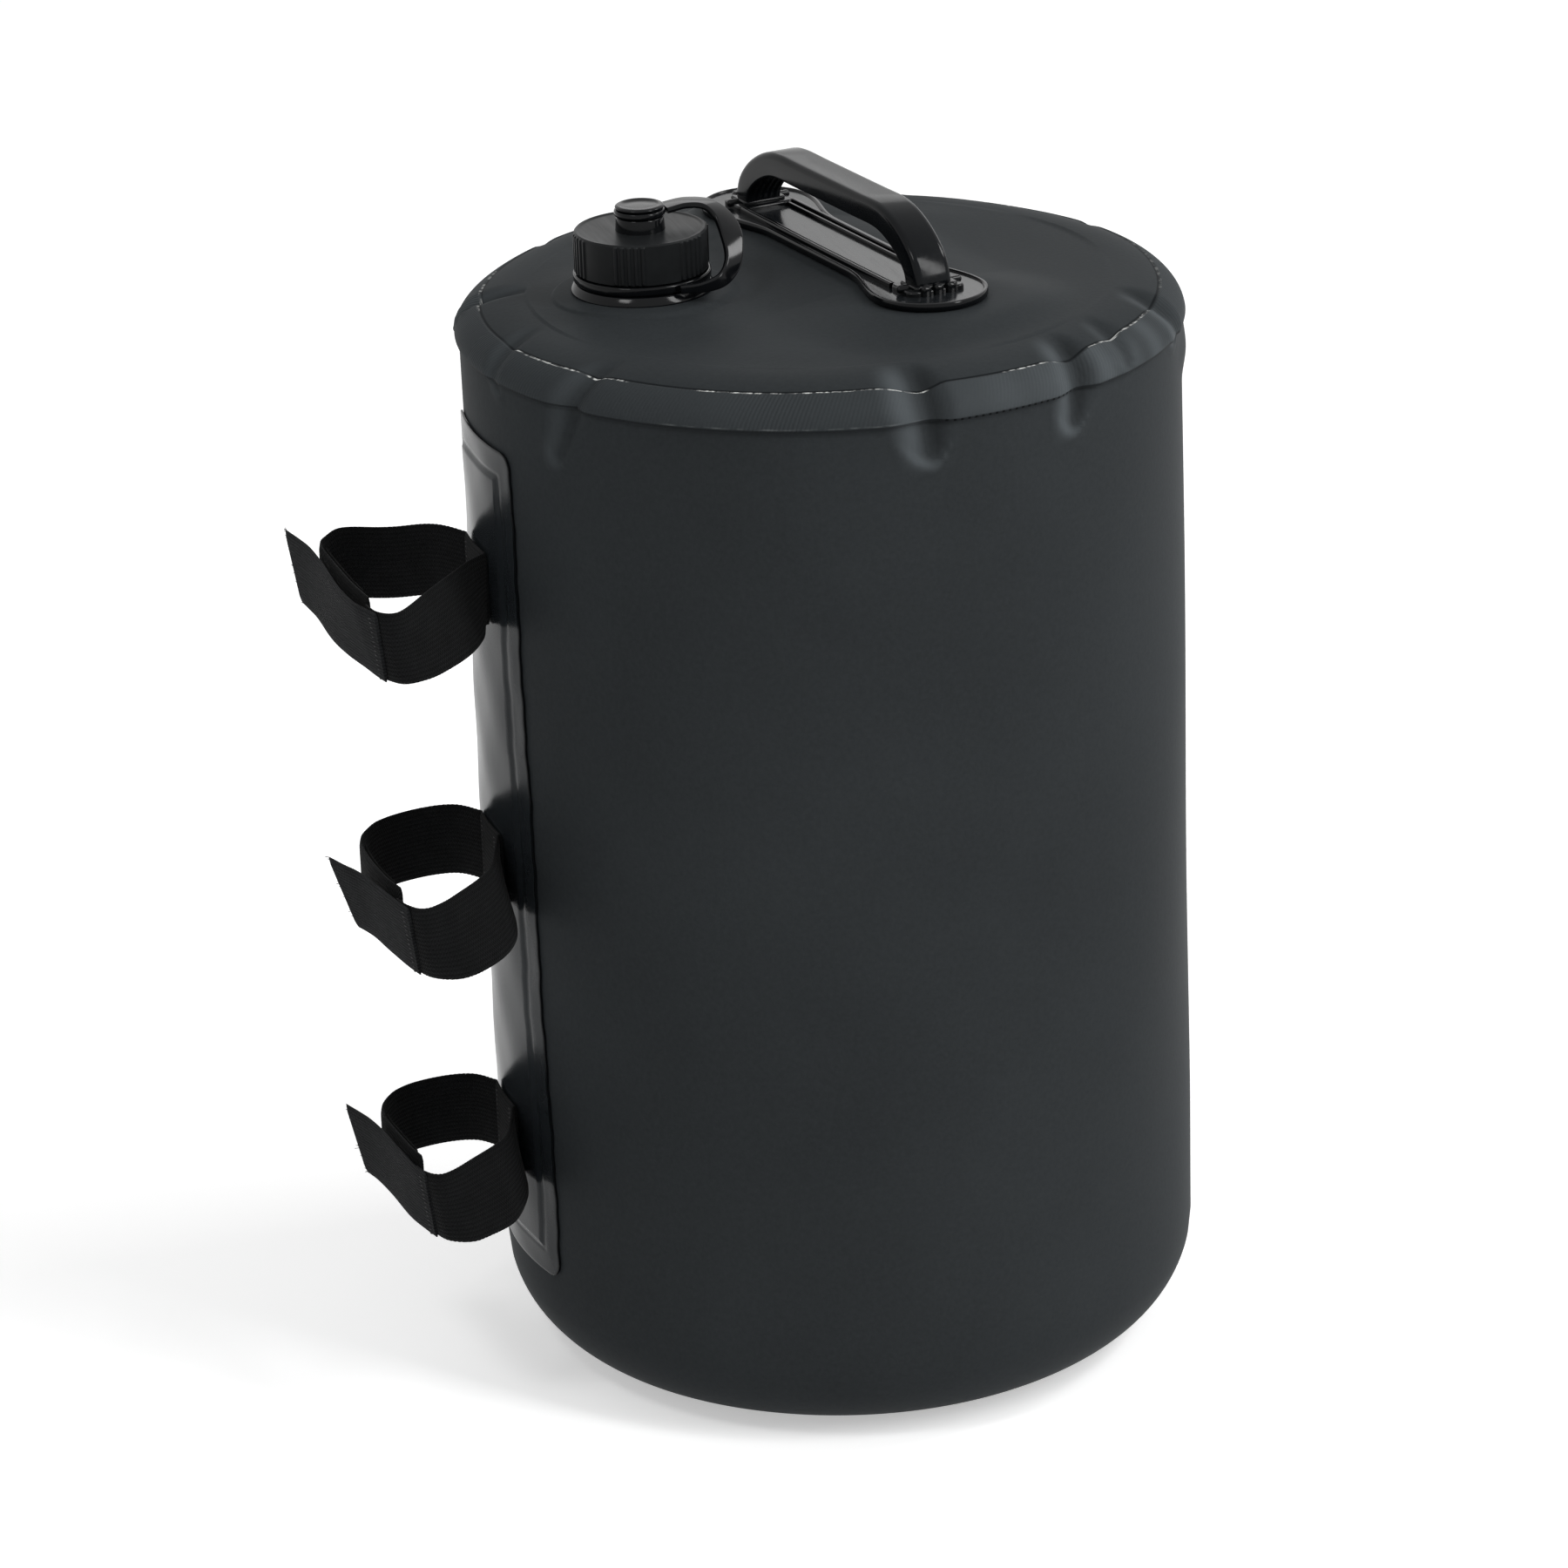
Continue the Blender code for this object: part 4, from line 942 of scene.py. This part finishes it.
# A lobe of one radius at each end and a waist between them that follows a cosine.
def plateOutline(count=48):
    turn = np.linspace(-math.pi / 2, math.pi / 2, count)
    lobe = np.stack([seat["lobeOut"] + seat["lobe"] * np.cos(turn), seat["lobe"] * np.sin(turn)], 1)
    share = np.linspace(0, 1, count)[1:-1]
    blend = 0.5 + 0.5 * np.cos(math.pi * np.clip(3.6 * np.minimum(share, 1 - share), 0, 1))
    side = seat["waist"] + (seat["lobe"] - seat["waist"]) * blend
    half = np.vstack([lobe, np.stack([seat["lobeOut"] * (1 - 2 * share), side], 1)])
    return np.vstack([half, -half])


# Each row of a rim profile (inset, height) is the outline moved in along its own normal.
def rimBody(name, outline, profile, finish, closeAlong=False):
    along = unit(np.roll(outline, -1, 0) - np.roll(outline, 1, 0))
    inward = np.stack([-along[:, 1], along[:, 0]], 1)
    profile = np.asarray(profile, float)
    flat = outline[None] + inward[None] * profile[:, None, :1]
    height = np.broadcast_to(profile[:, None, 1:], (*flat.shape[:2], 1))
    uv = np.pad(flat, ((0, int(closeAlong)), (0, 1), (0, 0)), mode="wrap")
    points = handlePlace(np.concatenate([flat, height], -1))
    return gridBody(name, points, uv, finish, closeAlong=closeAlong)


# A block round (x, y) with rounded upper edges: its outline goes up, and in over the top.
def lowBlock(name, x, y, halfX, halfY, corner, low, top, radius):
    corners = np.array([(1, -1), (1, 1), (-1, 1), (-1, -1)]) * (halfX, halfY) + (x, y)
    turn = np.linspace(0, math.pi / 2, 6)
    rim = np.stack([radius * (1 - np.cos(turn)), top - radius * (1 - np.sin(turn))], 1)
    return rimBody(name, roundCorners(corners, corner, 5), np.vstack([[0, low], rim]), glossBlack)


# The pin's section turns about a level line: (along, across, height) = centre + radius * (cos, 0, sin).
def crossPin(name, x, reach, height, radius):
    y = np.array([-1, -0.97, -0.93, 0.93, 0.97, 1]) * reach
    size = np.array([0.55, 0.85, 1, 1, 0.85, 0.55]) * radius
    turn = np.linspace(0, math.tau, 20, endpoint=False)
    ring = np.stack([np.cos(turn), 0 * turn, np.sin(turn)], 1)
    points = np.array([x, 0, height]) + y[:, None, None] * np.array([0, 1, 0]) + size[:, None, None] * ring
    uv = pairs(y, np.linspace(0, math.tau * radius, 21))
    return gridBody(name, handlePlace(points), uv, glossBlack, sharp=50)


# A straight bar along the plate, as high as the step from low to high.
def makeRail(y, reach, low, high):
    path = np.column_stack([np.linspace(-reach, reach, 60), np.full(60, y), np.full(60, (low + high) / 2)])
    section = roundedSection(high - low, handle["rail"], 0.0006)
    return sweep("handleRail", handlePlace(path), (0, 0, 1), section, glossBlack)


# The plate with its edge bead, two rails a side, and at each end a block, the grip's collar, a pin and
# knobs.
def makeHandleBase():
    h = handle
    low, plate, top, foot, edge, high = h["low"], h["plate"], h["frame"], h["foot"], h["bead"], h["beadHigh"]
    flat = [(0.0006, low), (0.0004, low + 0.0004), (0.0004, plate - 0.0004), (0.0008, plate)]
    flat += [(0.0012, plate)]
    bead = [(0.0002, low + 0.0001), (0, low + 0.0006), (0, plate), (0.0002, plate + 0.7 * high)]
    bead += [(0.35 * edge, plate + high), (0.65 * edge, plate + high), (edge - 0.0002, plate + 0.6 * high)]
    bead += [(edge, plate - 0.0001), (edge, plate - 0.0006), (0.5 * edge, low + 0.0001)]
    parts = [rimBody("handlePlate", plateOutline(), flat, plateGloss)]
    parts.append(rimBody("plateBead", plateOutline(), bead, glossBlack, closeAlong=True))
    sunk, endLong, wide, thick = plate - h["sunk"], h["endLong"], h["gripWide"] / 2, h["gripThick"] / 2
    for side in (-1, 1):
        for offset, height in ((0.0, top), (h["railStep"], top - 0.0006)):
            y = side * (h["halfWide"] - offset - h["rail"] / 2)
            parts.append(makeRail(y, h["halfLong"] - endLong + 0.0006, sunk, height))
    for end in (-1, 1):
        x, halfX, halfY = end * (h["halfLong"] - endLong / 2), endLong / 2, h["halfWide"]
        parts.append(lowBlock("footBlock", x, 0, halfX, halfY, 0.0035, sunk, top - 0.0001, 0.0008))
        x, halfX, halfY = end * foot, thick + h["collar"], wide + h["collar"]
        parts.append(lowBlock("footCollar", x, 0, halfX, halfY, 0.0016, plate, top + 0.0010, 0.0006))
        parts.append(crossPin("footPin", x, h["halfWide"] + 0.0012, top - 0.0002, h["pin"]))
        x = end * (foot + thick + 0.0019)
        for y in h["knobs"]:
            parts.append(lowBlock("footKnob", x, y, 0.0016, 0.0017, 0.0012, plate, top + 0.0016, 0.0011))
    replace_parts(joinPieces("handleBase", parts, "bag"), "handle_base")


# The grip's rounded section with many points across its upper side, and a mark of 1 between the lips
# there.
def gripSection():
    w, t, lip = handle["gripWide"] / 2, handle["gripThick"] / 2, handle["lip"]
    corners = roundCorners([(-w, t), (-w, -t), (w, -t), (w, t)], [0.0009, 0.0022, 0.0022, 0.0009], 5)
    around = corners[(corners[:, 1] < t - 1e-6) | (np.abs(corners[:, 0]) > w - lip)]
    section = np.vstack([around, np.column_stack([np.linspace(w - lip, -w + lip, 31), np.full(31, t)])])
    return section, np.concatenate([np.zeros(len(around)), np.ones(31)])


# The arch runs level between its two bends. Its upper side is dished along the level part and ribbed on
# the legs.
def makeGrip():
    h = handle
    foot, top, rise = h["foot"], h["frame"], h["gripTop"] - h["gripThick"] / 2 - h["frame"]
    half = [(foot, top - 0.0022), (foot, top + 0.0008)]
    bends = [(0.0015, 0.30), (0.0055, 0.54), (0.0115, 0.76), (0.0190, 0.93), (0.0270, 1)]
    half += [(foot - inwards, top + share * rise) for inwards, share in bends] + [(foot * 0.3, top + rise)]
    arch = curveThrough(half + [(-x, z) for x, z in half[::-1]], 0.0008)
    path = np.column_stack([arch[:, 0], np.zeros(len(arch)), arch[:, 1]])
    section, inner = gripSection()
    onTop = fade(np.abs(arch[:, 0]), foot - 0.016, foot - 0.006)[:, None]
    ribs = h["ribHigh"] * smoothStep(np.cos(section[:, 0] * math.tau / h["ribPitch"]), -0.2, 0.6) * inner
    dish = h["dish"] * inner * (1 - (section[:, 0] / (h["gripWide"] / 2 - h["lip"])) ** 2)
    sections = np.repeat(section[None], len(path), 0)
    sections[..., 1] += ribs * (1 - onTop) - dish * onTop
    across = handlePlace([0, 1, 0]) - handlePlace([0, 0, 0])
    grip = sweep("handleGrip", handlePlace(path), across, sections, gripSatin, "bag", sharp=50)
    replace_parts(grip, "handle_grip")


makeHandleBase()
makeGrip()
print("handle made")

strap = dict(
    half=0.0125, thick=0.0014, hookThick=0.0012, loopThick=0.0010, loopHalf=0.0121, loopGap=0.0001,
    rootRadius=0.1215, rootHalf=0.012, overlap=0.0006, fold=(-0.12160448, 0.01204952),
    nearBlend=(-0.003, -0.010), farBlend=(-0.009, 0.003), tabBlend=(0.0008, 0.004), scallop=0.00018,
    hookScallop=0.00006, pitch=0.0015,
    waves=157,  # of the far arm, in radians per metre
    step=0.00075, tapeFrom=-0.157,
)
thread = dict(
    stitch=0.00016, stitchArch=0.00012, fray=0.00011, frayArch=0.0001, frays=34, sway=0.28,
    length=(0.0006, 0.0026), inside=0.0004, steps=5, sides=6,
)

# Plan points of each loop in millimetres, seen from above, for the top edge and the lower edge of the
# webbing.
strapLoops = {
    "upper": {
        "z": 0.284,
        "seam": (-0.16949423, -0.04375234),
        "nearTop": [(-122.2, -12.6), (-128.3, -17.7), (-137.6, -28.4), (-146.9, -39.3), (-158.4, -53.6),
                    (-163.5, -56.4), (-167.6, -52.6), (-169.0, -44.6)],
        "nearLow": [(-122.2, -12.8), (-126.0, -24.5), (-134.4, -38.1), (-147.1, -50.6), (-154.6, -54.6),
                    (-160.2, -54.9), (-163.8, -50.1), (-166.4, -43.0)],
        "tailTop": [(-168.3, -54.6), (-170.3, -48.0), (-172.3, -40.0), (-173.2, -24.0), (-172.5, -1.0),
                    (-172.6, 15.0), (-173.6, 24.0), (-175.8, 36.5)],
        "tailLow": [(-165.2, -51.0), (-166.6, -44.0), (-168.0, -35.0), (-170.4, -21.0), (-171.7, -5.0),
                    (-171.3, 16.0), (-171.8, 26.0), (-172.4, 33.5)],
        "far": [(-122.4, 12.8), (-131.0, 21.8), (-139.0, 27.0), (-147.0, 30.2), (-155.0, 30.8),
                (-162.0, 28.0), (-167.0, 22.6), (-168.7, 16.0), (-168.8, 6.0), (-168.6, -8.0),
                (-168.0, -24.0), (-166.6, -38.0)],
        "tape": (-32.0, 15.5),
        "wave": 0.0010,
    },
    "middle": {
        "z": 0.185,
        "seam": (-0.1673357, -0.05149638),
        "nearTop": [(-122.2, -12.6), (-125.6, -22.5), (-132.8, -40.4), (-148.4, -56.9), (-157.0, -63.4),
                    (-161.8, -63.6), (-165.0, -58.6), (-166.6, -52.2)],
        "nearLow": [(-122.2, -12.8), (-121.6, -27.0), (-124.6, -41.6), (-132.0, -55.0), (-143.6, -65.4),
                    (-151.7, -67.6), (-159.0, -62.6), (-163.0, -51.0)],
        "tailTop": [(-165.4, -62.0), (-167.0, -55.0), (-169.0, -44.0), (-171.4, -31.0), (-173.2, -24.0),
                    (-175.8, -17.6), (-178.6, -9.4)],
        "tailLow": [(-161.8, -59.4), (-163.8, -50.0), (-166.0, -36.0), (-167.6, -24.0), (-169.0, -18.0),
                    (-170.8, -12.4)],
        "far": [(-122.0, 12.6), (-127.5, 18.6), (-134.8, 21.4), (-142.7, 21.9), (-150.0, 19.8),
                (-157.0, 14.5), (-163.0, 6.8), (-165.4, 0.0), (-166.2, -9.0), (-166.2, -20.0),
                (-165.2, -34.0), (-163.2, -44.0)],
        "tape": (-40.0, -1.0),
        "wave": 0.0005,
    },
    "lower": {
        "z": 0.086,
        "seam": (-0.1645146, -0.04450293),
        "nearTop": [(-122.2, -12.6), (-125.0, -21.0), (-131.0, -34.7), (-145.4, -47.0), (-155.0, -54.0),
                    (-159.6, -54.2), (-162.6, -50.2), (-163.9, -45.2)],
        "nearLow": [(-122.2, -12.8), (-121.2, -22.0), (-123.4, -32.0), (-132.0, -48.2), (-143.0, -55.8),
                    (-149.6, -57.8), (-156.5, -53.6), (-159.8, -43.8)],
        "tailTop": [(-162.8, -52.4), (-164.6, -44.0), (-165.9, -31.0), (-167.4, -14.6), (-169.2, -3.8),
                    (-171.0, 2.6), (-173.8, 11.0)],
        "tailLow": [(-159.4, -50.0), (-161.4, -42.0), (-163.6, -31.0), (-165.0, -13.0), (-166.6, 0.0),
                    (-168.5, 8.2)],
        "far": [(-122.0, 12.6), (-127.0, 18.2), (-134.4, 21.0), (-142.4, 21.7), (-149.8, 20.0),
                (-156.6, 14.8), (-161.8, 7.4), (-163.6, 1.2), (-163.9, -6.2), (-163.2, -16.0),
                (-161.8, -30.6), (-160.4, -38.0)],
        "tape": (-33.0, 0.0),
        "wave": 0.0004,
    },
}


# Between the two edge curves each row runs straight; the band is thickened along its normal, its edges
# are scalloped and its first part may wave up and down. Returns the piece, its middle layer and that
# layer's normals.
def ribbon(name, topPlan, lowPlan, height, thick, finish, body=None,
           shift=0.0, half=strap["half"], scallop=strap["scallop"], wave=0.0):
    top, low = curveThrough(topPlan, 0.0002), curveThrough(lowPlan, 0.0002)
    count = int(max(lengthOf(top), lengthOf(low)) / strap["step"])
    top, low = evenSteps(top, count), evenSteps(low, count)
    across = np.concatenate([[-1, -0.985], np.linspace(-0.95, 0.95, 15), [0.985, 1]])
    share = (across[None, :, None] + 1) / 2
    plan = low[:, None] * (1 - share) + top[:, None] * share
    run = walked((top + low) / 2)
    tooth = np.abs(np.sin(run * math.pi / strap["pitch"]))[:, None] * scallop
    waves = wave * np.sin(run * strap["waves"]) * fade(run, run[-1] * 0.38, run[-1] * 0.46)
    lift = height + across[None] * (half - scallop + tooth) + waves[:, None]
    middle = np.concatenate([plan, lift[..., None]], -1)
    out = unit(np.cross(np.gradient(middle, axis=0), np.gradient(middle, axis=1)))
    edge = thick / 2 * np.clip(1.02 - np.abs(across) ** 14, 0.3, 1)[None, :, None]
    points = np.concatenate([middle + out * (shift + edge), (middle + out * (shift - edge))[:, ::-1]], 1)
    v = across * half
    uv = pairs(run, np.concatenate([v, v[::-1], v[:1]]))
    return gridBody(name, points, uv, finish, body, sharp=50), middle, out


# Short rods of thread: each is a half sine arch between a start and an end, and rises the outward way.
def threadRods(name, starts, ends, outs, radius, arch, slot, body):
    count, steps, sides = len(starts), thread["steps"], thread["sides"]
    t = np.linspace(0, 1, steps)
    hump = np.sin(math.pi * t)
    path = starts[:, None] + (ends - starts)[:, None] * t[None, :, None]
    path = path + outs[:, None] * (arch * hump)[None, :, None]
    along = unit(ends - starts)
    side = unit(np.cross(along, outs))
    lift = np.cross(side, along)
    turn = np.linspace(0, math.tau, sides, endpoint=False)[None, :, None]
    ring = side[:, None] * np.cos(turn) + lift[:, None] * np.sin(turn)
    points = path[:, :, None] + radius * ring[:, None] * (0.55 + 0.45 * hump)[None, :, None, None]
    base = (np.arange(count) * steps * sides)[:, None, None]
    i, j = np.moveaxis(pairs(np.arange(steps - 1) * sides, np.arange(sides)), -1, 0)
    beside = (j + 1) % sides
    quad = np.stack([i + j, i + sides + j, i + sides + beside, i + beside], -1).reshape(1, -1, 4)
    caps = np.array([list(range(sides))[::-1], list(range((steps - 1) * sides, steps * sides))])[None]
    faces = (quad + base).reshape(-1, 4).tolist() + (caps + base).reshape(-1, sides).tolist()
    return finishPiece(name, points, faces, (threadGrey[0], slot), body, 80)


# Rods across one row of a band, each between two neighbouring points of the grid and on one of its faces.
def stitchRow(name, middle, out, row, face, thick, slot, body):
    k = np.arange(2, 16)
    lift = out[row, k] * (face * (thick / 2 + 0.00005))
    starts, ends, outs = middle[row, k] + lift, middle[row + 2, k] + lift, out[row, k] * face
    return threadRods(name, starts, ends, outs, thread["stitch"], thread["stitchArch"], slot, body)


# Loose threads at a cut end: short rods along the band, each turned and lengthened a little at random.
def frayedEnd(name, middle, out, slot, body):
    count = thread["frays"]
    k = rng.integers(0, middle.shape[1], count)
    along = unit(middle[-1, k] - middle[-3, k])
    sway = rng.normal(0, thread["sway"], (count, 3))
    size = rng.uniform(*thread["length"], (count, 1))
    starts = middle[-1, k] - along * thread["inside"]
    ends = starts + unit(along + sway) * size
    return threadRods(name, starts, ends, out[-1, k], thread["fray"], thread["frayArch"], slot, body)


# Points on the sewn root's circle at lengths measured sideways from its middle: (-radius * cos, radius *
# sin).
def rootPoints(lengths):
    radius = strap["rootRadius"]
    return np.stack([-radius * np.cos(lengths / radius), radius * np.sin(lengths / radius)], 1)


# An arm's plan in metres: it starts a little before the sewn root's end, on the root's own circle.
def armPlan(side, points):
    start = rootPoints(np.array([strap["rootHalf"] - strap["overlap"]])) * (1, side)
    return np.vstack([start, np.asarray(points, float) / 1000])


# One strap: the sewn root, the near and far arms that bend where they leave it, the pile tape on the far
# arm, and the hook tape that bends at its seam on the near arm's end.
def makeStrap(name, loop):
    z, thick = loop["z"], strap["thick"]
    root = rootPoints(np.linspace(strap["rootHalf"], -strap["rootHalf"], 9))
    piece, middle, out = ribbon(name + "Root", root, root, z, thick, webBlack, "bag")
    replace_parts(piece, name + "_strap_root")
    for side, row in (("Left", 4), ("Right", len(middle) - 7)):
        stitchRow(name + side + "Stitches", middle, out, row, 1, thick, "webbing", "bag")

    top, low = armPlan(-1, loop["nearTop"]), armPlan(-1, loop["nearLow"])
    near = ribbon(name + "NearArm", top, low, z, thick, webBlack)[0]
    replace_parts(near, name + "_near_arm")
    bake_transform(near)

    plan = armPlan(1, loop["far"])
    far, middle, out = ribbon(name + "FarArm", plan, plan, z, thick, webBlack, wave=loop["wave"])
    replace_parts(far, name + "_far_arm")
    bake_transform(far)

    low, high = (value / 1000 for value in loop["tape"])
    centre = middle[:, 9]
    onTape = (centre[:, 1] > low) & (centre[:, 1] < high) & (centre[:, 0] < strap["tapeFrom"])
    plan = centre[onTape][::6, :2]
    shift = -(thick + strap["loopThick"]) / 2 - strap["loopGap"]
    tape = ribbon(name + "LoopTape", plan, plan, z, strap["loopThick"], pileBlack, name + "_far_arm",
                  shift=shift, half=strap["loopHalf"])[0]
    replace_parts(tape, name + "_loop_tape")

    tailTop, tailLow = (np.asarray(loop[key], float) / 1000 for key in ("tailTop", "tailLow"))
    tail, middle, out = ribbon(name + "HookTape", tailTop, tailLow, z, strap["hookThick"], hookGrey,
                               scallop=strap["hookScallop"])
    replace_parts(tail, name + "_hook_tape")
    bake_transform(tail)
    frayedEnd(name + "TipThreads", middle, out, "hook_tape", name + "_tab")
    stitchRow(name + "SeamStitches", middle, out, 3, -1, strap["hookThick"], "hook_tape", name + "_near_arm")


for loopName, loop in strapLoops.items():
    makeStrap(loopName, loop)
print("straps made")

studio = dict(
    floorHalf=6, floorHeight=-0.0002, floorGlow=0.42, diffuse=0.46, seen=1.0,
)


# A pale floor that keeps its shadow: seen directly or in a reflection it glows a little and meets the
# white.
def makeFloor():
    half = studio["floorHalf"]
    corners = [(-half, -half, 0), (half, -half, 0), (half, half, 0), (-half, half, 0)]
    mesh = bpy.data.meshes.new("floor")
    mesh.from_pydata(corners, [], [(0, 1, 2, 3)])
    floor = addObject("floor", mesh)
    floor.location = (0, 0, studio["floorHeight"])
    material, tree, shader = startMaterial("paleFloor")
    setInputs(shader, Base_Color=(0.95, 0.95, 0.95), Roughness=0.9, Specular_IOR_Level=0.1)
    rays = tree.nodes.new("ShaderNodeLightPath")
    glow = calc("MAXIMUM", Wire(rays, "Is Camera Ray"), Wire(rays, "Is Glossy Ray"))
    setInputs(shader, Emission_Color=(1, 1, 1), Emission_Strength=glow * studio["floorGlow"])
    mesh.materials.append(material)


# White where the camera, a reflection or a refraction looks at it, and dimmer as a light on matt surfaces.
def makeWorld():
    world = bpy.data.worlds.new("softStudio")
    scene.world = world
    world.use_nodes = True
    tree = world.node_tree
    tree.nodes.clear()
    back = tree.nodes.new("ShaderNodeBackground")
    rays = tree.nodes.new("ShaderNodeLightPath")
    bounced = calc("MAXIMUM", Wire(rays, "Is Glossy Ray"), Wire(rays, "Is Transmission Ray"))
    seen = calc("MAXIMUM", Wire(rays, "Is Camera Ray"), bounced)
    setInputs(back, Color=(1, 1, 1), Strength=spread(seen, 0, 1, studio["diffuse"], studio["seen"]))
    tree.links.new(back.outputs[0], tree.nodes.new("ShaderNodeOutputWorld").inputs[0])


# A rectangular light at a place, turned so that its face looks at the aim.
def areaLight(name, place, aim, size, power):
    data = bpy.data.lights.new(name, "AREA")
    data.shape = "RECTANGLE"
    data.size, data.size_y = size
    data.energy = power
    light = addObject(name, data)
    way = (np.array(aim) - np.array(place)).tolist()
    light.location = place
    light.visible_camera = False
    light.rotation_euler = Vector(way).to_track_quat("-Z", "Y").to_euler()


camera = dict(
    place=(-0.5724, -1.8153, 0.9437), heading=(0.2920, 0.9564), down=0.3755, roll=-0.0364,
    lens=138.44, sensor=36, farthest=30,
)


# The camera's axes: right lies level, square to the heading, and both it and up are turned by the roll.
def makeCamera():
    c = camera
    heading = np.array([*c["heading"], 0.0]) / np.hypot(*c["heading"])
    forward = heading * math.cos(c["down"]) - np.array([0, 0, math.sin(c["down"])])
    right = np.cross(heading, (0, 0, 1))
    up = np.cross(right, forward)
    cosine, sine = math.cos(c["roll"]), math.sin(c["roll"])
    right, up = cosine * right + sine * up, cosine * up - sine * right
    data = bpy.data.cameras.new("photoView")
    data.sensor_width = c["sensor"]
    data.lens = c["lens"]
    data.clip_end = c["farthest"]
    view = addObject("photoView", data)
    turn = np.eye(4)
    turn[:3] = np.column_stack([right, up, -forward, c["place"]])
    view.matrix_world = Matrix(turn.tolist())
    scene.camera = view


makeFloor()
makeWorld()
areaLight("keyRight", (1.9, -0.2, 1.9), (0, 0, 0.25), (0.60, 0.60), 15)
areaLight("stripFront", (0.93, -1.16, 1.25), (0.02, -0.05, 0.38), (0.30, 1.30), 16)
areaLight("softLeft", (-0.91, -0.64, 1.57), (-0.06, 0, 0.376), (0.40, 0.28), 4.4)
areaLight("softBack", (0.75, 2.20, 1.45), (0, 0, 0.38), (1.30, 0.70), 2.4)
makeCamera()
scene.view_settings.view_transform = "Standard"
